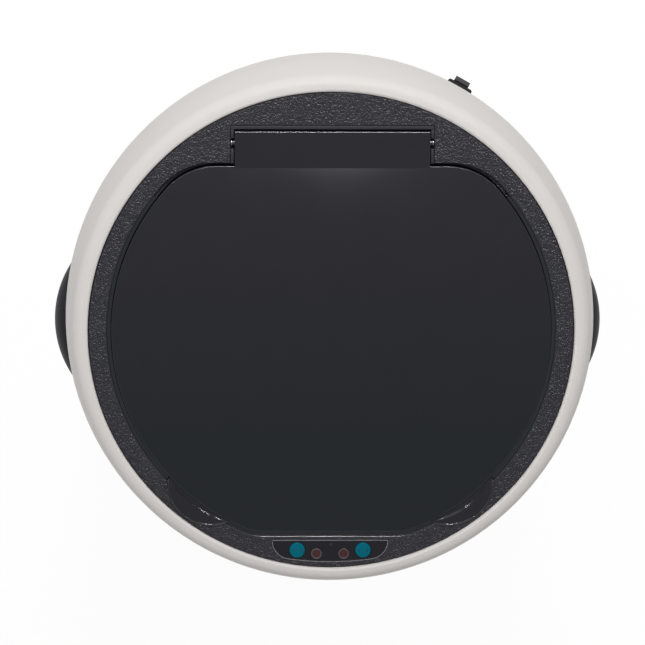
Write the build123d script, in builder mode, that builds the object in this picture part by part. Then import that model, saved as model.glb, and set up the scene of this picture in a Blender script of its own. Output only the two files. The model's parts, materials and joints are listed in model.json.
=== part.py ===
"""Automatic kitchen bin: a round drum with a lift-off head, a tilted black face and a motor-driven lid.

Millimetres, +Z up, rear (hinge) towards +Y, origin at the centre of the base on the floor.
Face coordinates: u to the right, v up the slope to the rear, w out of the face.
"""

import os
from math import atan2, cos, degrees, pi, radians, sin, sqrt, tan

from build123d import *

os.makedirs("parts", exist_ok=True)

# Head and drum
head_radius = 150.0
shell_wall = 2.5
dome_centre_z = 564.0
skirt_length = 28.0
head_slip = 0.5
drum_wall = 1.0
drum_top_drop = 16.0
rest_gap = 0.3
base_height = 20.0
base_lip = 2.0
pad_height = 3.0
pad_radius = 11.0
pad_inset = 23.0

# Tilted face
face_tilt = 13.5
face_distance = 43.8
rim_rounding = 7.0
lip_rounding = 1.5
lip_depth = 6.0
rim_width = 7.863
frame_slip = 0.4
frame_sink = 1.5
frame_forward = 0.6
frame_plate = 2.5
flange_reach = 5.5
flange_depth = 9.0

# Lid and its recess
side_land = 12.8
rear_land = 41.55
front_land = 20.5
lid_rear_corner = 37.0
lid_front_corner = 25.0
lid_depth = 8.0
lid_wall = 2.4
side_gap = 2.5
rear_gap = 1.35
front_gap = 3.0
recess_wall = 1.6
recess_clearance = 4.5
step_depth = 4.0
step_gap = 0.7
edge_rounding = 0.6
ledge_thickness = 2.0
mouth_inset = 11.0
chute_length = 29.5
scallop_radius = 24.2
scallop_inset = 12.78
scallop_angle = 52.42
scallop_depth = 9.0

# Hinge
hinge_inset = 29.2
hinge_w = -6.0
block_half = 54.0
block_behind = 7.1
block_depth = 13.0
block_gap = 2.2
trough_rear_gap = 2.95
trough_floor = 16.0
trough_wall = 1.2
lug_width = 4.0
shaft_radius = 2.0
bush_wall = 1.5
running_gap = 0.05
seat_gap = 0.1
lid_open_angle = 85.0

# Gears
gear_module = 1.0
lid_teeth = 14
drive_teeth = 14
pressure_angle = 20.0
tooth_tip = 0.75
tooth_root = 1.05
backlash = 0.14
gear_width = 4.0
gear_gap = 0.6
hub_radius = 3.2

slope = radians(face_tilt)
face_normal = Vector(0, -sin(slope), cos(slope))
face_rear = Vector(0, cos(slope), sin(slope))
face_origin = Vector(0, 0, dome_centre_z) + face_normal * face_distance
face = Plane(origin=face_origin, x_dir=(1, 0, 0), z_dir=face_normal)
cut_radius = sqrt(head_radius**2 - face_distance**2)
frame_radius = cut_radius - rim_width
frame_middle = (0, -frame_forward)
lid_radius = frame_radius - side_land
lid_rear = frame_radius - rear_land
lid_front = frame_radius - front_land
hinge_v = frame_radius - hinge_inset
block_rear = hinge_v + block_behind
mouth_rear = hinge_v - 28.4
scallop_reach = lid_radius - scallop_inset
scallop_u = scallop_reach * cos(radians(scallop_angle))
scallop_v = -scallop_reach * sin(radians(scallop_angle))
recess_depth = lid_depth + recess_clearance
chute_depth = recess_depth + chute_length
drum_radius = head_radius - shell_wall - head_slip
drum_inner = drum_radius - drum_wall
pad_circle = drum_radius - pad_inset
skirt_z = dome_centre_z - skirt_length
drum_top_z = dome_centre_z - drum_top_drop
opening_radius = lid_radius + side_gap
opening_rear = lid_rear + rear_gap
opening_front = lid_front + front_gap
trough_half = block_half + block_gap
trough_rear = block_rear + trough_rear_gap
ledge_low = recess_depth + ledge_thickness


def face_at(w):
    """The face plane, moved w out of the face."""
    return face.offset(w)


def on_face(u, v, w):
    """A point in face coordinates."""
    return face_origin + Vector(u, 0, 0) + face_rear * v + face_normal * w


def across(u, v=0.0, w=0.0):
    """A plane across the face, local x to the rear and local y out of the face, facing right."""
    return Plane(origin=on_face(u, v, w), x_dir=face_rear, z_dir=(1, 0, 0))


def finish_piece(piece, name):
    """Label one finished piece and write it to its file."""
    piece.part.label = name
    export_step(piece.part, f"parts/{name}.step")


def rounded_disc(radius, rear, front, rear_corner, front_corner):
    """Lid-shaped outline: a disc with straight rear and front edges and rounded corners."""
    Circle(radius)
    with Locations((0, (rear - front) / 2)):
        Rectangle(3 * radius, rear + front, mode=Mode.INTERSECT)
    fillet(vertices().group_by(Axis.Y)[-1], rear_corner)
    fillet(vertices().group_by(Axis.Y)[0], front_corner)


def screw(radius, length, head_radius_, head_height):
    """A pan-head screw along local Z, its head's underside at zero and its shank below."""
    Cylinder(radius, length, align=(Align.CENTER, Align.CENTER, Align.MAX))
    Cylinder(head_radius_, head_height, align=(Align.CENTER, Align.CENTER, Align.MIN))


# Drum shell: a coated steel tube
handle_drop = 51.0
handle_z = dome_centre_z - handle_drop
handle_height = 42.0
handle_screw_y = 28.0
handle_screw_radius = 2.0
handle_screw_length = 7.0
drum_bottom_z = pad_height + 4.0
handle_screws_at = [
    (side, y) for side in (-1, 1) for y in (-handle_screw_y, handle_screw_y)
]


screw_seat = sqrt(drum_inner**2 - handle_screw_y**2) - 0.9


def handle_screw_plane(side, y, x):
    """Plane for one handle screw, its local Z pointing back into the drum."""
    return Plane(origin=(side * x, y, handle_z), x_dir=(0, 1, 0), z_dir=(-side, 0, 0))


with BuildPart() as drum_shell:
    with BuildSketch(Plane.XY.offset(drum_bottom_z)):
        Circle(drum_radius)
        Circle(drum_inner, mode=Mode.SUBTRACT)
    extrude(amount=drum_top_z - drum_bottom_z)
    for side, y in handle_screws_at:
        with BuildSketch(handle_screw_plane(side, y, drum_radius + 5)):
            Circle(handle_screw_radius + 0.2)
        extrude(amount=30, mode=Mode.SUBTRACT)
finish_piece(drum_shell, "drum_shell")

# Floor pan: a pressed dish in the foot of the drum
pan_thickness = 1.0
pan_wall_height = 9.0
with BuildPart() as floor_pan:
    with BuildSketch(Plane.XY.offset(drum_bottom_z)):
        Circle(drum_inner - seat_gap)
    extrude(amount=pan_wall_height)
    offset(amount=-pan_thickness, openings=floor_pan.faces().sort_by(Axis.Z)[-1])
finish_piece(floor_pan, "floor_pan")

# Base ring: moulded foot that the drum stands in
with BuildPart() as base_ring:
    with BuildSketch(Plane.XY.offset(pad_height)):
        Circle(drum_radius + base_lip)
        Circle(pad_circle - pad_radius - 2, mode=Mode.SUBTRACT)
    extrude(amount=base_height - pad_height)
    foot_edges = base_ring.edges().filter_by(GeomType.CIRCLE).sort_by(SortBy.RADIUS)[-2:]
    fillet(foot_edges.sort_by(Axis.Z)[0], 2.5)
    with BuildSketch(Plane.XY.offset(drum_bottom_z)):
        Circle(drum_radius + seat_gap)
    extrude(amount=base_height, mode=Mode.SUBTRACT)
finish_piece(base_ring, "base_ring")

# Rubber pads under the base ring
with BuildPart() as base_pads:
    with BuildSketch(Plane.XY):
        with PolarLocations(pad_circle, 4, start_angle=45):
            Circle(pad_radius)
    extrude(amount=pad_height)
finish_piece(base_pads, "base_pads")

# Side handles: shallow finger pulls below the head
handle_stand_out = 8.4
handle_reach = head_radius + handle_stand_out
handle_arc = 59.2
handle_wall = 3.0
handle_rounding = 9.0
handle_end_solid = 22.0
handle_top_wall = 4.0


def handle(side):
    """One finger pull, open below."""
    with BuildPart() as pull:
        low = handle_z - handle_height / 2
        with BuildSketch(Plane.XY.offset(low)):
            with Locations((side * (handle_reach - handle_arc), 0)):
                Circle(handle_arc)
            Circle(drum_radius + seat_gap, mode=Mode.SUBTRACT)
            with Locations((-side * handle_reach, 0)):
                Rectangle(2 * handle_reach, 2 * handle_reach, mode=Mode.SUBTRACT)
        extrude(amount=handle_height)
        outer = pull.faces().filter_by(GeomType.CYLINDER).sort_by(Axis.X)
        outer = outer[-1] if side > 0 else outer[0]
        fillet(outer.edges().filter_by(GeomType.CIRCLE).sort_by(Axis.Z)[-1], handle_rounding)
        with BuildSketch(Plane.XY.offset(low)):
            with Locations((side * (handle_reach - handle_arc), 0)):
                Circle(handle_arc - handle_wall)
            with Locations((side * handle_reach, 0)):
                Rectangle(handle_reach, 2 * handle_end_solid, mode=Mode.INTERSECT)
            Circle(drum_radius - 1, mode=Mode.SUBTRACT)
        extrude(amount=handle_height - handle_top_wall, mode=Mode.SUBTRACT)
        for y in (-handle_screw_y, handle_screw_y):
            with BuildSketch(handle_screw_plane(side, y, screw_seat)):
                Circle(handle_screw_radius + running_gap)
            extrude(amount=-(handle_screw_length + seat_gap), mode=Mode.SUBTRACT)
    return pull


finish_piece(handle(-1), "handle_left")
finish_piece(handle(1), "handle_right")

with BuildPart() as handle_screws:
    for side, y in handle_screws_at:
        with Locations(handle_screw_plane(side, y, screw_seat)):
            screw(handle_screw_radius, handle_screw_length, 3.8, 2.4)
finish_piece(handle_screws, "handle_screws")

# Liner ring: hangs on the drum's rim and traps the bag
ring_wall = 1.5
ring_inset = 3.5
ring_inner = drum_inner - ring_inset
ring_drop = 28.0
with BuildPart() as liner_ring:
    with BuildSketch(Plane.XY.offset(drum_top_z)):
        Circle(drum_radius)
        Circle(ring_inner, mode=Mode.SUBTRACT)
    extrude(amount=ring_wall)
    with BuildSketch(Plane.XY.offset(drum_top_z - ring_drop)):
        Circle(ring_inner + ring_wall)
        Circle(ring_inner, mode=Mode.SUBTRACT)
    extrude(amount=ring_drop)
finish_piece(liner_ring, "liner_ring")

# Head shell: pearl white dome cut by the tilted face, with a rolled rim
with BuildPart() as shell_core:
    with BuildSketch(Plane.XZ):
        with BuildLine():
            core_radius = head_radius - shell_wall
            Polyline((0, dome_centre_z + core_radius), (0, skirt_z - 1), (core_radius, skirt_z - 1))
            Line((core_radius, skirt_z - 1), (core_radius, dome_centre_z))
            CenterArc((0, dome_centre_z), core_radius, 0, 90)
        make_face()
    revolve(axis=Axis.Z)
    split(bisect_by=face_at(-lip_depth), keep=Keep.BOTTOM)

switch_angle = 29.5
switch_height = 21.0
switch_width = 15.0
switch_hole = (12.6, 18.6)
switch_out = Vector(sin(radians(switch_angle)), cos(radians(switch_angle)), 0)
switch_z = dome_centre_z - 2.0
switch_seat = head_radius - 0.3
ledge_gap_z = 0.3
ledge_rise = 2.5
ledge_width = 4.3
ledge_inner = head_radius - shell_wall - ledge_width


def switch_plane(reach):
    """Upright plane facing out of the skirt where the power switch sits."""
    return Plane(
        origin=switch_out * reach + Vector(0, 0, switch_z),
        x_dir=(switch_out.Y, -switch_out.X, 0),
        z_dir=switch_out,
    )


frame_screw_inset = 3.0
frame_screw_radius = 1.15
frame_screw_bite = 2.0
frame_screw_count = 8
frame_screw_circle = frame_radius + frame_screw_inset

with BuildPart() as head_shell:
    with BuildSketch(Plane.XZ):
        with BuildLine():
            Polyline((0, dome_centre_z + head_radius), (0, skirt_z), (head_radius, skirt_z))
            Line((head_radius, skirt_z), (head_radius, dome_centre_z))
            CenterArc((0, dome_centre_z), head_radius, 0, 90)
        make_face()
    revolve(axis=Axis.Z)
    split(bisect_by=face, keep=Keep.BOTTOM)
    rim_edge = head_shell.edges().filter_by(GeomType.CIRCLE).sort_by(Axis.Z)[-1]
    fillet(rim_edge, rim_rounding)
    with BuildSketch(face):
        with Locations(frame_middle):
            Circle(frame_radius + frame_slip)
    extrude(amount=-3 * lip_depth, mode=Mode.SUBTRACT)
    add(shell_core.part, mode=Mode.SUBTRACT)
    lip_edge = head_shell.edges().filter_by(GeomType.CIRCLE)
    lip_edge = lip_edge.filter_by(lambda e: abs(e.radius - frame_radius - frame_slip) < 0.01)
    fillet(lip_edge.sort_by(Axis.Z)[-1], lip_rounding)
    with BuildSketch(Plane.XY.offset(drum_top_z + ring_wall + ledge_gap_z)):
        Circle(head_radius - shell_wall / 2)
        Circle(ledge_inner, mode=Mode.SUBTRACT)
    extrude(amount=ledge_rise)
    with BuildSketch(switch_plane(head_radius - 3 * shell_wall)):
        Rectangle(switch_hole[0] + 2 * seat_gap, switch_hole[1] + 2 * seat_gap)
    extrude(amount=6 * shell_wall, mode=Mode.SUBTRACT)
    with BuildSketch(switch_plane(switch_seat)):
        Rectangle(switch_width + 2 * seat_gap, switch_height + 2 * seat_gap)
    extrude(amount=shell_wall, mode=Mode.SUBTRACT)
    with BuildSketch(face_at(-lip_depth)):
        with PolarLocations(frame_screw_circle, frame_screw_count, start_angle=22.5):
            Circle(frame_screw_radius + running_gap)
    extrude(amount=frame_screw_bite + 0.6, mode=Mode.SUBTRACT)
finish_piece(head_shell, "head_shell")

# Openings and recess outlines of the black frame


def opening_outline(grow=0.0):
    """Edge of the lid recess, grown by a wall."""
    rounded_disc(
        opening_radius + grow,
        opening_rear + grow,
        opening_front + grow,
        lid_rear_corner + rear_gap + grow,
        lid_front_corner + front_gap + grow,
    )


def scallop_outline(grow=0.0):
    """Edges of the two finger scallops."""
    with Locations((scallop_u, scallop_v), (-scallop_u, scallop_v)):
        Circle(scallop_radius + grow)


def mouth_outline(grow=0.0):
    """Edge of the mouth that the rubbish goes through."""
    rounded_disc(
        opening_radius - mouth_inset + grow,
        mouth_rear + grow,
        opening_front - mouth_inset + grow,
        lid_rear_corner + grow,
        lid_front_corner + grow,
    )


# Head frame: grained black moulding with the lid recess, hinge trough, lugs and chute
frame_under = frame_sink + frame_plate
panel_rear = -(frame_radius - 15.1)
panel_depth = 1.0
panel_half = 32.9
panel_arc = 165.0
panel_arc_reach = frame_radius - 2.6
panel_rear_corner = 0.6
panel_front_corner = 10.1
button_u = 18.6
button_v = -(frame_radius - 9.45)
button_radius = 4.4
window_u = 7.7
window_v = -(frame_radius - 7.35)
window_radius = 3.1
led_v = -(frame_radius - 12.7)
led_radius = 1.0
led_u = 0.5
button_slip = 0.25
bush_radius = shaft_radius + running_gap + bush_wall
trough_front_reach = 5.0
board_top = 14.0
board_v = button_v - 0.15
board_size = (66.0, 11.5)
board_thickness = 1.6
board_screw_u = 28.5
board_boss_radius = 2.6
board_screw_radius = 1.2
board_screw_length = 5.0


def panel_outline(grow=0.0):
    """Lens-shaped outline of the control panel."""
    with Locations((0, panel_arc - panel_arc_reach)):
        Circle(panel_arc + grow)
    with Locations((0, panel_rear + grow - panel_arc)):
        Rectangle(2 * (panel_half + grow), 2 * panel_arc, mode=Mode.INTERSECT)
    fillet(vertices().group_by(Axis.Y)[-1], panel_rear_corner)
    fillet(vertices().group_by(Axis.Y)[0], panel_front_corner)


# Rear housing sizes
housing_top = frame_under + seat_gap
housing_depth = 62.0
housing_inset = 1.8
housing_radius = frame_radius - housing_inset
housing_front = mouth_rear + recess_wall + 0.4
housing_half = 92.0
housing_wall = 1.6
shelf_top = 42.0
door_v = housing_front + 21.0
door_length = 116.0
door_width = 36.0
door_thickness = 2.0
door_slip = 0.2
rail_wall = 2.0
rail_lip = 1.5
rail_height = 4.4
bay_length = 108.0
bay_width = 31.0

# Gears and drive sizes
lid_pitch = gear_module * lid_teeth / 2
drive_pitch = gear_module * drive_teeth / 2
drive_w = hinge_w - lid_pitch - drive_pitch
gear_u = trough_half + lug_width + gear_gap
case_length = 14.0
case_half = 10.5
motor_v = hinge_v - 3.4
motor_w = -30.2
case_top = trough_floor + trough_wall + 0.5
case_low = shelf_top - 1.0
case_u = gear_u - gear_gap - case_length
foot_v = hinge_v - 9.0
foot_half = 10.0
foot_thickness = 2.0
foot_screw_v = hinge_v - 15.0
case_screw_radius = 1.25
case_boss = 6.0
case_screws_u = (case_u + 3.5, case_u + case_length - 3.5)
motor_radius = 9.8
motor_length = 30.0
main_board_low = 34.0
main_board_size = (52.0, 28.0)
main_board_centre = (-34.0, hinge_v - 4.4)
main_board_screws = [
    (main_board_centre[0] + x * 22.0, main_board_centre[1] + y * 10.5)
    for x in (-1, 1)
    for y in (-1, 1)
]
housing_post = 3.0
housing_screw_radius = 1.45
housing_screw_length = 12.0
housing_screw_half = ((lid_radius - 42.8, mouth_rear + 8.5), (30.0, mouth_rear + 6.4))
housing_screw_places = [(s * u, v) for s in (-1, 1) for u, v in housing_screw_half]
cable_radius = 1.6
cable_inset = 7.6
cable_circle = frame_radius - cable_inset
cable_w = -(board_top + board_thickness + cable_radius)


def housing_outline(inset=0.0):
    """Plan of the rear housing, drawn in by a wall."""
    Circle(housing_radius - inset)
    with Locations((0, housing_front + inset + housing_radius)):
        Rectangle(2 * (housing_half - inset), 2 * housing_radius, mode=Mode.INTERSECT)


def housing_holes():
    """Pilot holes for the case and board screws: plane, radius and depth."""
    pilot = case_screw_radius + running_gap
    holes = [(face_spot(u, foot_screw_v, -case_low), pilot, 4.0) for u in case_screws_u]
    holes += [(face_spot(u, v, -main_board_low), pilot, 5.5) for u, v in main_board_screws]
    post_pilot = housing_screw_radius + running_gap
    for u, v in housing_screw_places:
        holes.append((face_spot(u, v, -ledge_low), post_pilot, housing_screw_length))
    side = sqrt(cable_circle**2 - housing_half**2)
    entry = across(-housing_half + 2 * housing_wall, side, cable_w)
    holes.append((entry, cable_radius + 0.4, 4 * housing_wall))
    return holes


def face_spot(u, v, w):
    """A plane parallel to the face at one place."""
    return Plane(origin=on_face(u, v, w), x_dir=(1, 0, 0), z_dir=face_normal)


with BuildPart() as head_frame:
    with BuildSketch(face_at(-frame_sink)):
        with Locations(frame_middle):
            Circle(frame_radius)
    extrude(amount=-frame_plate)
    with BuildSketch(face_at(-frame_sink)):
        with Locations(frame_middle):
            Circle(frame_radius)
        Circle(frame_radius - recess_wall, mode=Mode.SUBTRACT)
    extrude(amount=-(flange_depth - frame_sink))
    with BuildSketch(face_at(-flange_depth)):
        Circle(frame_radius + flange_reach)
        Circle(frame_radius - recess_wall, mode=Mode.SUBTRACT)
    extrude(amount=flange_depth - lip_depth - rest_gap)
    with BuildSketch(face_at(-frame_sink)):
        opening_outline(recess_wall)
        with Locations(frame_middle):
            Circle(frame_radius, mode=Mode.INTERSECT)
    extrude(amount=-(ledge_low - frame_sink))
    with BuildSketch(face_at(-frame_sink)):
        scallop_outline(recess_wall)
        with Locations(frame_middle):
            Circle(frame_radius, mode=Mode.INTERSECT)
    extrude(amount=-(scallop_depth + ledge_thickness - frame_sink))
    with BuildSketch(face_at(-frame_sink)):
        with Locations((0, (opening_rear - trough_front_reach + trough_rear) / 2)):
            Rectangle(
                2 * (trough_half + lug_width),
                trough_rear - opening_rear + trough_front_reach + 2 * trough_wall,
            )
    extrude(amount=-(trough_floor + trough_wall - frame_sink))
    with BuildSketch(face_at(-recess_depth)):
        mouth_outline(recess_wall)
    extrude(amount=-(chute_depth - recess_depth))
    # Bosses for the sensor board
    with BuildSketch(face_at(-frame_sink)):
        with Locations((board_screw_u, board_v), (-board_screw_u, board_v)):
            Circle(board_boss_radius)
    extrude(amount=-(board_top - frame_sink))
    # Recess with a step just outside the lid, scallops, mouth and trough
    with BuildSketch(face):
        opening_outline()
    extrude(amount=-step_depth, mode=Mode.SUBTRACT)
    with BuildSketch(face):
        rounded_disc(
            lid_radius + step_gap,
            lid_rear + step_gap,
            lid_front + step_gap,
            lid_rear_corner + step_gap,
            lid_front_corner + step_gap,
        )
    extrude(amount=-recess_depth, mode=Mode.SUBTRACT)
    with BuildSketch(face):
        scallop_outline()
    extrude(amount=-scallop_depth, mode=Mode.SUBTRACT)
    with BuildSketch(face):
        mouth_outline()
    extrude(amount=-(chute_depth + 1), mode=Mode.SUBTRACT)
    with BuildSketch(face):
        with Locations((0, (opening_rear - trough_front_reach + trough_rear) / 2)):
            Rectangle(2 * trough_half, trough_rear - opening_rear + trough_front_reach)
    extrude(amount=-trough_floor, mode=Mode.SUBTRACT)
    # Bush bores in the lugs
    for side in (-1, 1):
        with BuildSketch(across(side * (trough_half + lug_width / 2), hinge_v, hinge_w)):
            Circle(bush_radius)
        extrude(amount=lug_width, both=True, mode=Mode.SUBTRACT)
    # Control panel pocket, button and window holes
    with BuildSketch(face_at(-frame_sink)):
        panel_outline(seat_gap)
    extrude(amount=-panel_depth, mode=Mode.SUBTRACT)
    with BuildSketch(face_at(-frame_sink)):
        with Locations((button_u, button_v), (-button_u, button_v)):
            Circle(button_radius + button_slip)
        with Locations((window_u, window_v), (-window_u, window_v)):
            Circle(window_radius + seat_gap)
        with Locations((led_u, led_v)):
            Circle(led_radius + seat_gap)
    extrude(amount=-(frame_plate + 1), mode=Mode.SUBTRACT)
    with BuildSketch(face_at(-board_top)):
        with Locations((board_screw_u, board_v), (-board_screw_u, board_v)):
            Circle(board_screw_radius + running_gap)
    extrude(amount=board_screw_length, mode=Mode.SUBTRACT)
    # Screw holes in the flange and in the underside of the rear land
    with BuildSketch(face_at(-flange_depth - 1)):
        with PolarLocations(frame_screw_circle, frame_screw_count, start_angle=22.5):
            Circle(frame_screw_radius + 3 * seat_gap)
    extrude(amount=flange_depth - lip_depth + 2, mode=Mode.SUBTRACT)
    with BuildSketch(face_at(-frame_under)):
        with Locations((gear_u + gear_width / 2, hinge_v)):
            Rectangle(gear_width + 3, 2 * hub_radius + 1)
    extrude(amount=frame_plate - 1.1, mode=Mode.SUBTRACT)
    with BuildSketch(face_at(-recess_depth)):
        with Locations(*housing_screw_places):
            Circle(housing_screw_radius + seat_gap)
    extrude(amount=-2 * ledge_thickness, mode=Mode.SUBTRACT)
    land = head_frame.faces().filter_by(Axis((0, 0, 0), face_normal))
    land = land.filter_by(lambda f: abs((f.center() - on_face(0, 0, -frame_sink)).dot(face_normal)) < 0.01)
    land = land.sort_by(SortBy.AREA)[-1]
    opening_edge = max(land.inner_wires(), key=lambda wire: wire.length)
    fillet(opening_edge.edges(), edge_rounding)
    fillet(land.outer_wire().edges(), edge_rounding)
finish_piece(head_frame, "head_frame")

# Screws up through the flange into the shell's lip
with BuildPart() as frame_screws:
    with Locations(face_at(-flange_depth)):
        with PolarLocations(frame_screw_circle, frame_screw_count, start_angle=22.5):
            with Locations(Rotation(180, 0, 0)):
                screw(frame_screw_radius, flange_depth - lip_depth + frame_screw_bite, 2.2, 1.6)
finish_piece(frame_screws, "frame_screws")

# Rear housing: tray under the frame for the drive, board and cells
with BuildPart() as rear_housing:
    with BuildSketch(face_at(-housing_top)):
        housing_outline()
    extrude(amount=-(housing_depth - housing_top))
    with BuildSketch(face_at(-housing_top)):
        housing_outline(housing_wall)
    extrude(amount=-(housing_depth - housing_top - housing_wall), mode=Mode.SUBTRACT)
    with BuildSketch(face_at(-shelf_top)):
        housing_outline(housing_wall / 2)
    extrude(amount=-housing_wall)
    # Cradle ribs that the gear case is screwed to
    with BuildSketch(face_at(-shelf_top)):
        with Locations(*[(u, foot_screw_v) for u in case_screws_u]):
            Rectangle(case_boss, case_boss)
    extrude(amount=shelf_top - case_low)
    # Posts that the frame is screwed to
    with BuildSketch(face_at(-shelf_top)):
        with Locations(*housing_screw_places):
            Circle(housing_post)
    extrude(amount=shelf_top - ledge_low - seat_gap)
    # Pillars under the main board
    with BuildSketch(face_at(-shelf_top)):
        with Locations(*main_board_screws):
            Circle(2.8)
    extrude(amount=shelf_top - main_board_low)
    # Door rails at the ends of the cell bay
    with BuildSketch(face_at(-housing_depth)):
        with Locations((0, door_v)):
            Rectangle(door_length + 2 * rail_wall + 2 * door_slip, door_width + rail_wall)
            Rectangle(door_length - 2 * rail_lip, door_width + 2 * rail_wall, mode=Mode.SUBTRACT)
    extrude(amount=-rail_height)
    with BuildSketch(face_at(-housing_depth)):
        with Locations((0, door_v - rail_wall + door_slip)):
            Rectangle(door_length + 2 * door_slip, door_width + 2 * rail_wall)
    extrude(amount=-(door_thickness + 2 * door_slip), mode=Mode.SUBTRACT)
    with BuildSketch(face_at(-housing_depth)):
        with Locations((0, door_v)):
            Rectangle(bay_length, bay_width)
    extrude(amount=2 * housing_wall, both=True, mode=Mode.SUBTRACT)
    # Room for the frame's recess and trough
    with BuildSketch(face):
        opening_outline(recess_wall + seat_gap)
    extrude(amount=-(ledge_low + seat_gap), mode=Mode.SUBTRACT)
    with BuildSketch(face):
        with Locations((0, (opening_rear - trough_front_reach + trough_rear) / 2)):
            Rectangle(
                2 * (trough_half + lug_width + seat_gap),
                trough_rear - opening_rear + trough_front_reach + 2 * (trough_wall + seat_gap),
            )
    extrude(amount=-(trough_floor + trough_wall + seat_gap), mode=Mode.SUBTRACT)
    # Screw holes
    for plane, radius, length in housing_holes():
        with BuildSketch(plane):
            Circle(radius)
        extrude(amount=-length, mode=Mode.SUBTRACT)
finish_piece(rear_housing, "rear_housing")

# Lid panel: glossy black cover with the hinge block moulded on
block_front = lid_rear - 6.05
block_rear_rounding = 0.8
lid_edge_rounding = 0.5
liner_thickness = 1.6
lid_post_radius = 3.5
lid_screw_radius = 1.25
lid_screw_half = (
    (lid_radius - 22.8, 20.0),
    (lid_radius - 42.8, -(lid_front - 45.1)),
    (lid_radius - 47.8, lid_rear - 24.05),
)
lid_screw_places = [(s * u, v) for s in (-1, 1) for u, v in lid_screw_half]
buffer_radius = 2.8
buffer_v = -(lid_front - 4.9)
buffer_places = [(-30.0, buffer_v), (30.0, buffer_v)]


def lid_outline(inset=0.0):
    """Outline of the lid, drawn in by a wall."""
    rounded_disc(
        lid_radius - inset,
        lid_rear - inset,
        lid_front - inset,
        lid_rear_corner - inset,
        lid_front_corner - inset,
    )


with BuildPart() as lid_panel:
    with BuildSketch(face):
        lid_outline()
    extrude(amount=-lid_depth)
    fillet(lid_panel.faces().sort_by(Axis(on_face(0, 0, 0), face_normal))[-1].edges(), lid_edge_rounding)
    with BuildSketch(across(-block_half)):
        with BuildLine():
            Polyline(
                (block_front, 0),
                (block_rear, 0),
                (block_rear, hinge_w - 3.0),
                (hinge_v + 3.0, -block_depth),
                (hinge_v - 6.0, -block_depth),
                (block_front + 4.0, -lid_depth),
                (block_front, -lid_depth),
                close=True,
            )
        make_face()
    extrude(amount=2 * block_half)
    block_edges = lid_panel.edges().filter_by(Axis.X).sort_by(Axis(on_face(0, 0, 0), face_rear))
    block_edges = block_edges.filter_by_position(Axis.Z, on_face(0, block_rear, -1).Z, 1000)
    fillet(block_edges[-1], block_rear_rounding)
    with BuildSketch(face_at(-lid_depth)):
        lid_outline(lid_wall)
        with Locations((0, hinge_v)):
            Rectangle(4 * block_half, 2 * (hinge_v - block_front - 1), mode=Mode.SUBTRACT)
    extrude(amount=lid_depth - lid_wall, mode=Mode.SUBTRACT)
    # Screw posts under the top
    with BuildSketch(face_at(-lid_wall)):
        with Locations(*lid_screw_places):
            Circle(lid_post_radius)
    extrude(amount=-(lid_depth - lid_wall - liner_thickness))
    with BuildSketch(face_at(-lid_depth)):
        with Locations(*lid_screw_places):
            Circle(lid_screw_radius + running_gap)
    extrude(amount=lid_depth - lid_wall, mode=Mode.SUBTRACT)
    with BuildSketch(across(-2 * block_half, hinge_v, hinge_w)):
        Circle(shaft_radius + running_gap)
    extrude(amount=4 * block_half, mode=Mode.SUBTRACT)
finish_piece(lid_panel, "lid_panel")

# Lid liner: flat cover that closes the lid's underside
with BuildPart() as lid_liner:
    with BuildSketch(face_at(-lid_depth)):
        lid_outline(lid_wall + 2 * seat_gap)
        with Locations((0, hinge_v)):
            Rectangle(
                4 * block_half, 2 * (hinge_v - block_front - 1 + 2 * seat_gap), mode=Mode.SUBTRACT
            )
    extrude(amount=liner_thickness)
    with BuildSketch(face_at(-lid_depth)):
        with Locations(*lid_screw_places):
            Circle(lid_screw_radius + seat_gap)
    extrude(amount=liner_thickness, mode=Mode.SUBTRACT)
finish_piece(lid_liner, "lid_liner")

# Lid screws, heads under the liner
with BuildPart() as lid_screws:
    with Locations(face_at(-lid_depth)):
        with Locations(*lid_screw_places):
            with Locations(Rotation(180, 0, 0)):
                screw(lid_screw_radius, lid_depth - lid_wall - seat_gap, 2.6, 1.2)
finish_piece(lid_screws, "lid_screws")

# Rubber buffers that the closed lid rests on
with BuildPart() as lid_buffers:
    with BuildSketch(face_at(-lid_depth)):
        with Locations(*buffer_places):
            Circle(buffer_radius)
    extrude(amount=-(recess_depth - lid_depth - rest_gap))
finish_piece(lid_buffers, "lid_buffers")

# Hinge shaft: steel rod fixed in the block, turning in two bushes
shaft_left = -(trough_half + lug_width)
shaft_right = gear_u + gear_width + 1.0
with BuildPart() as hinge_shaft:
    with BuildSketch(across(shaft_left, hinge_v, hinge_w)):
        Circle(shaft_radius)
    extrude(amount=shaft_right - shaft_left)
    chamfer(hinge_shaft.edges().filter_by(GeomType.CIRCLE), 0.4)
finish_piece(hinge_shaft, "hinge_shaft")

# Bushes pressed into the frame's lugs
with BuildPart() as hinge_bushes:
    for side in (-1, 1):
        with BuildSketch(across(side * (trough_half + lug_width / 2), hinge_v, hinge_w)):
            Circle(bush_radius - running_gap / 2)
            Circle(shaft_radius + running_gap, mode=Mode.SUBTRACT)
        extrude(amount=lug_width / 2, both=True)
finish_piece(hinge_bushes, "hinge_bushes")


# Gears: involute teeth


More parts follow.
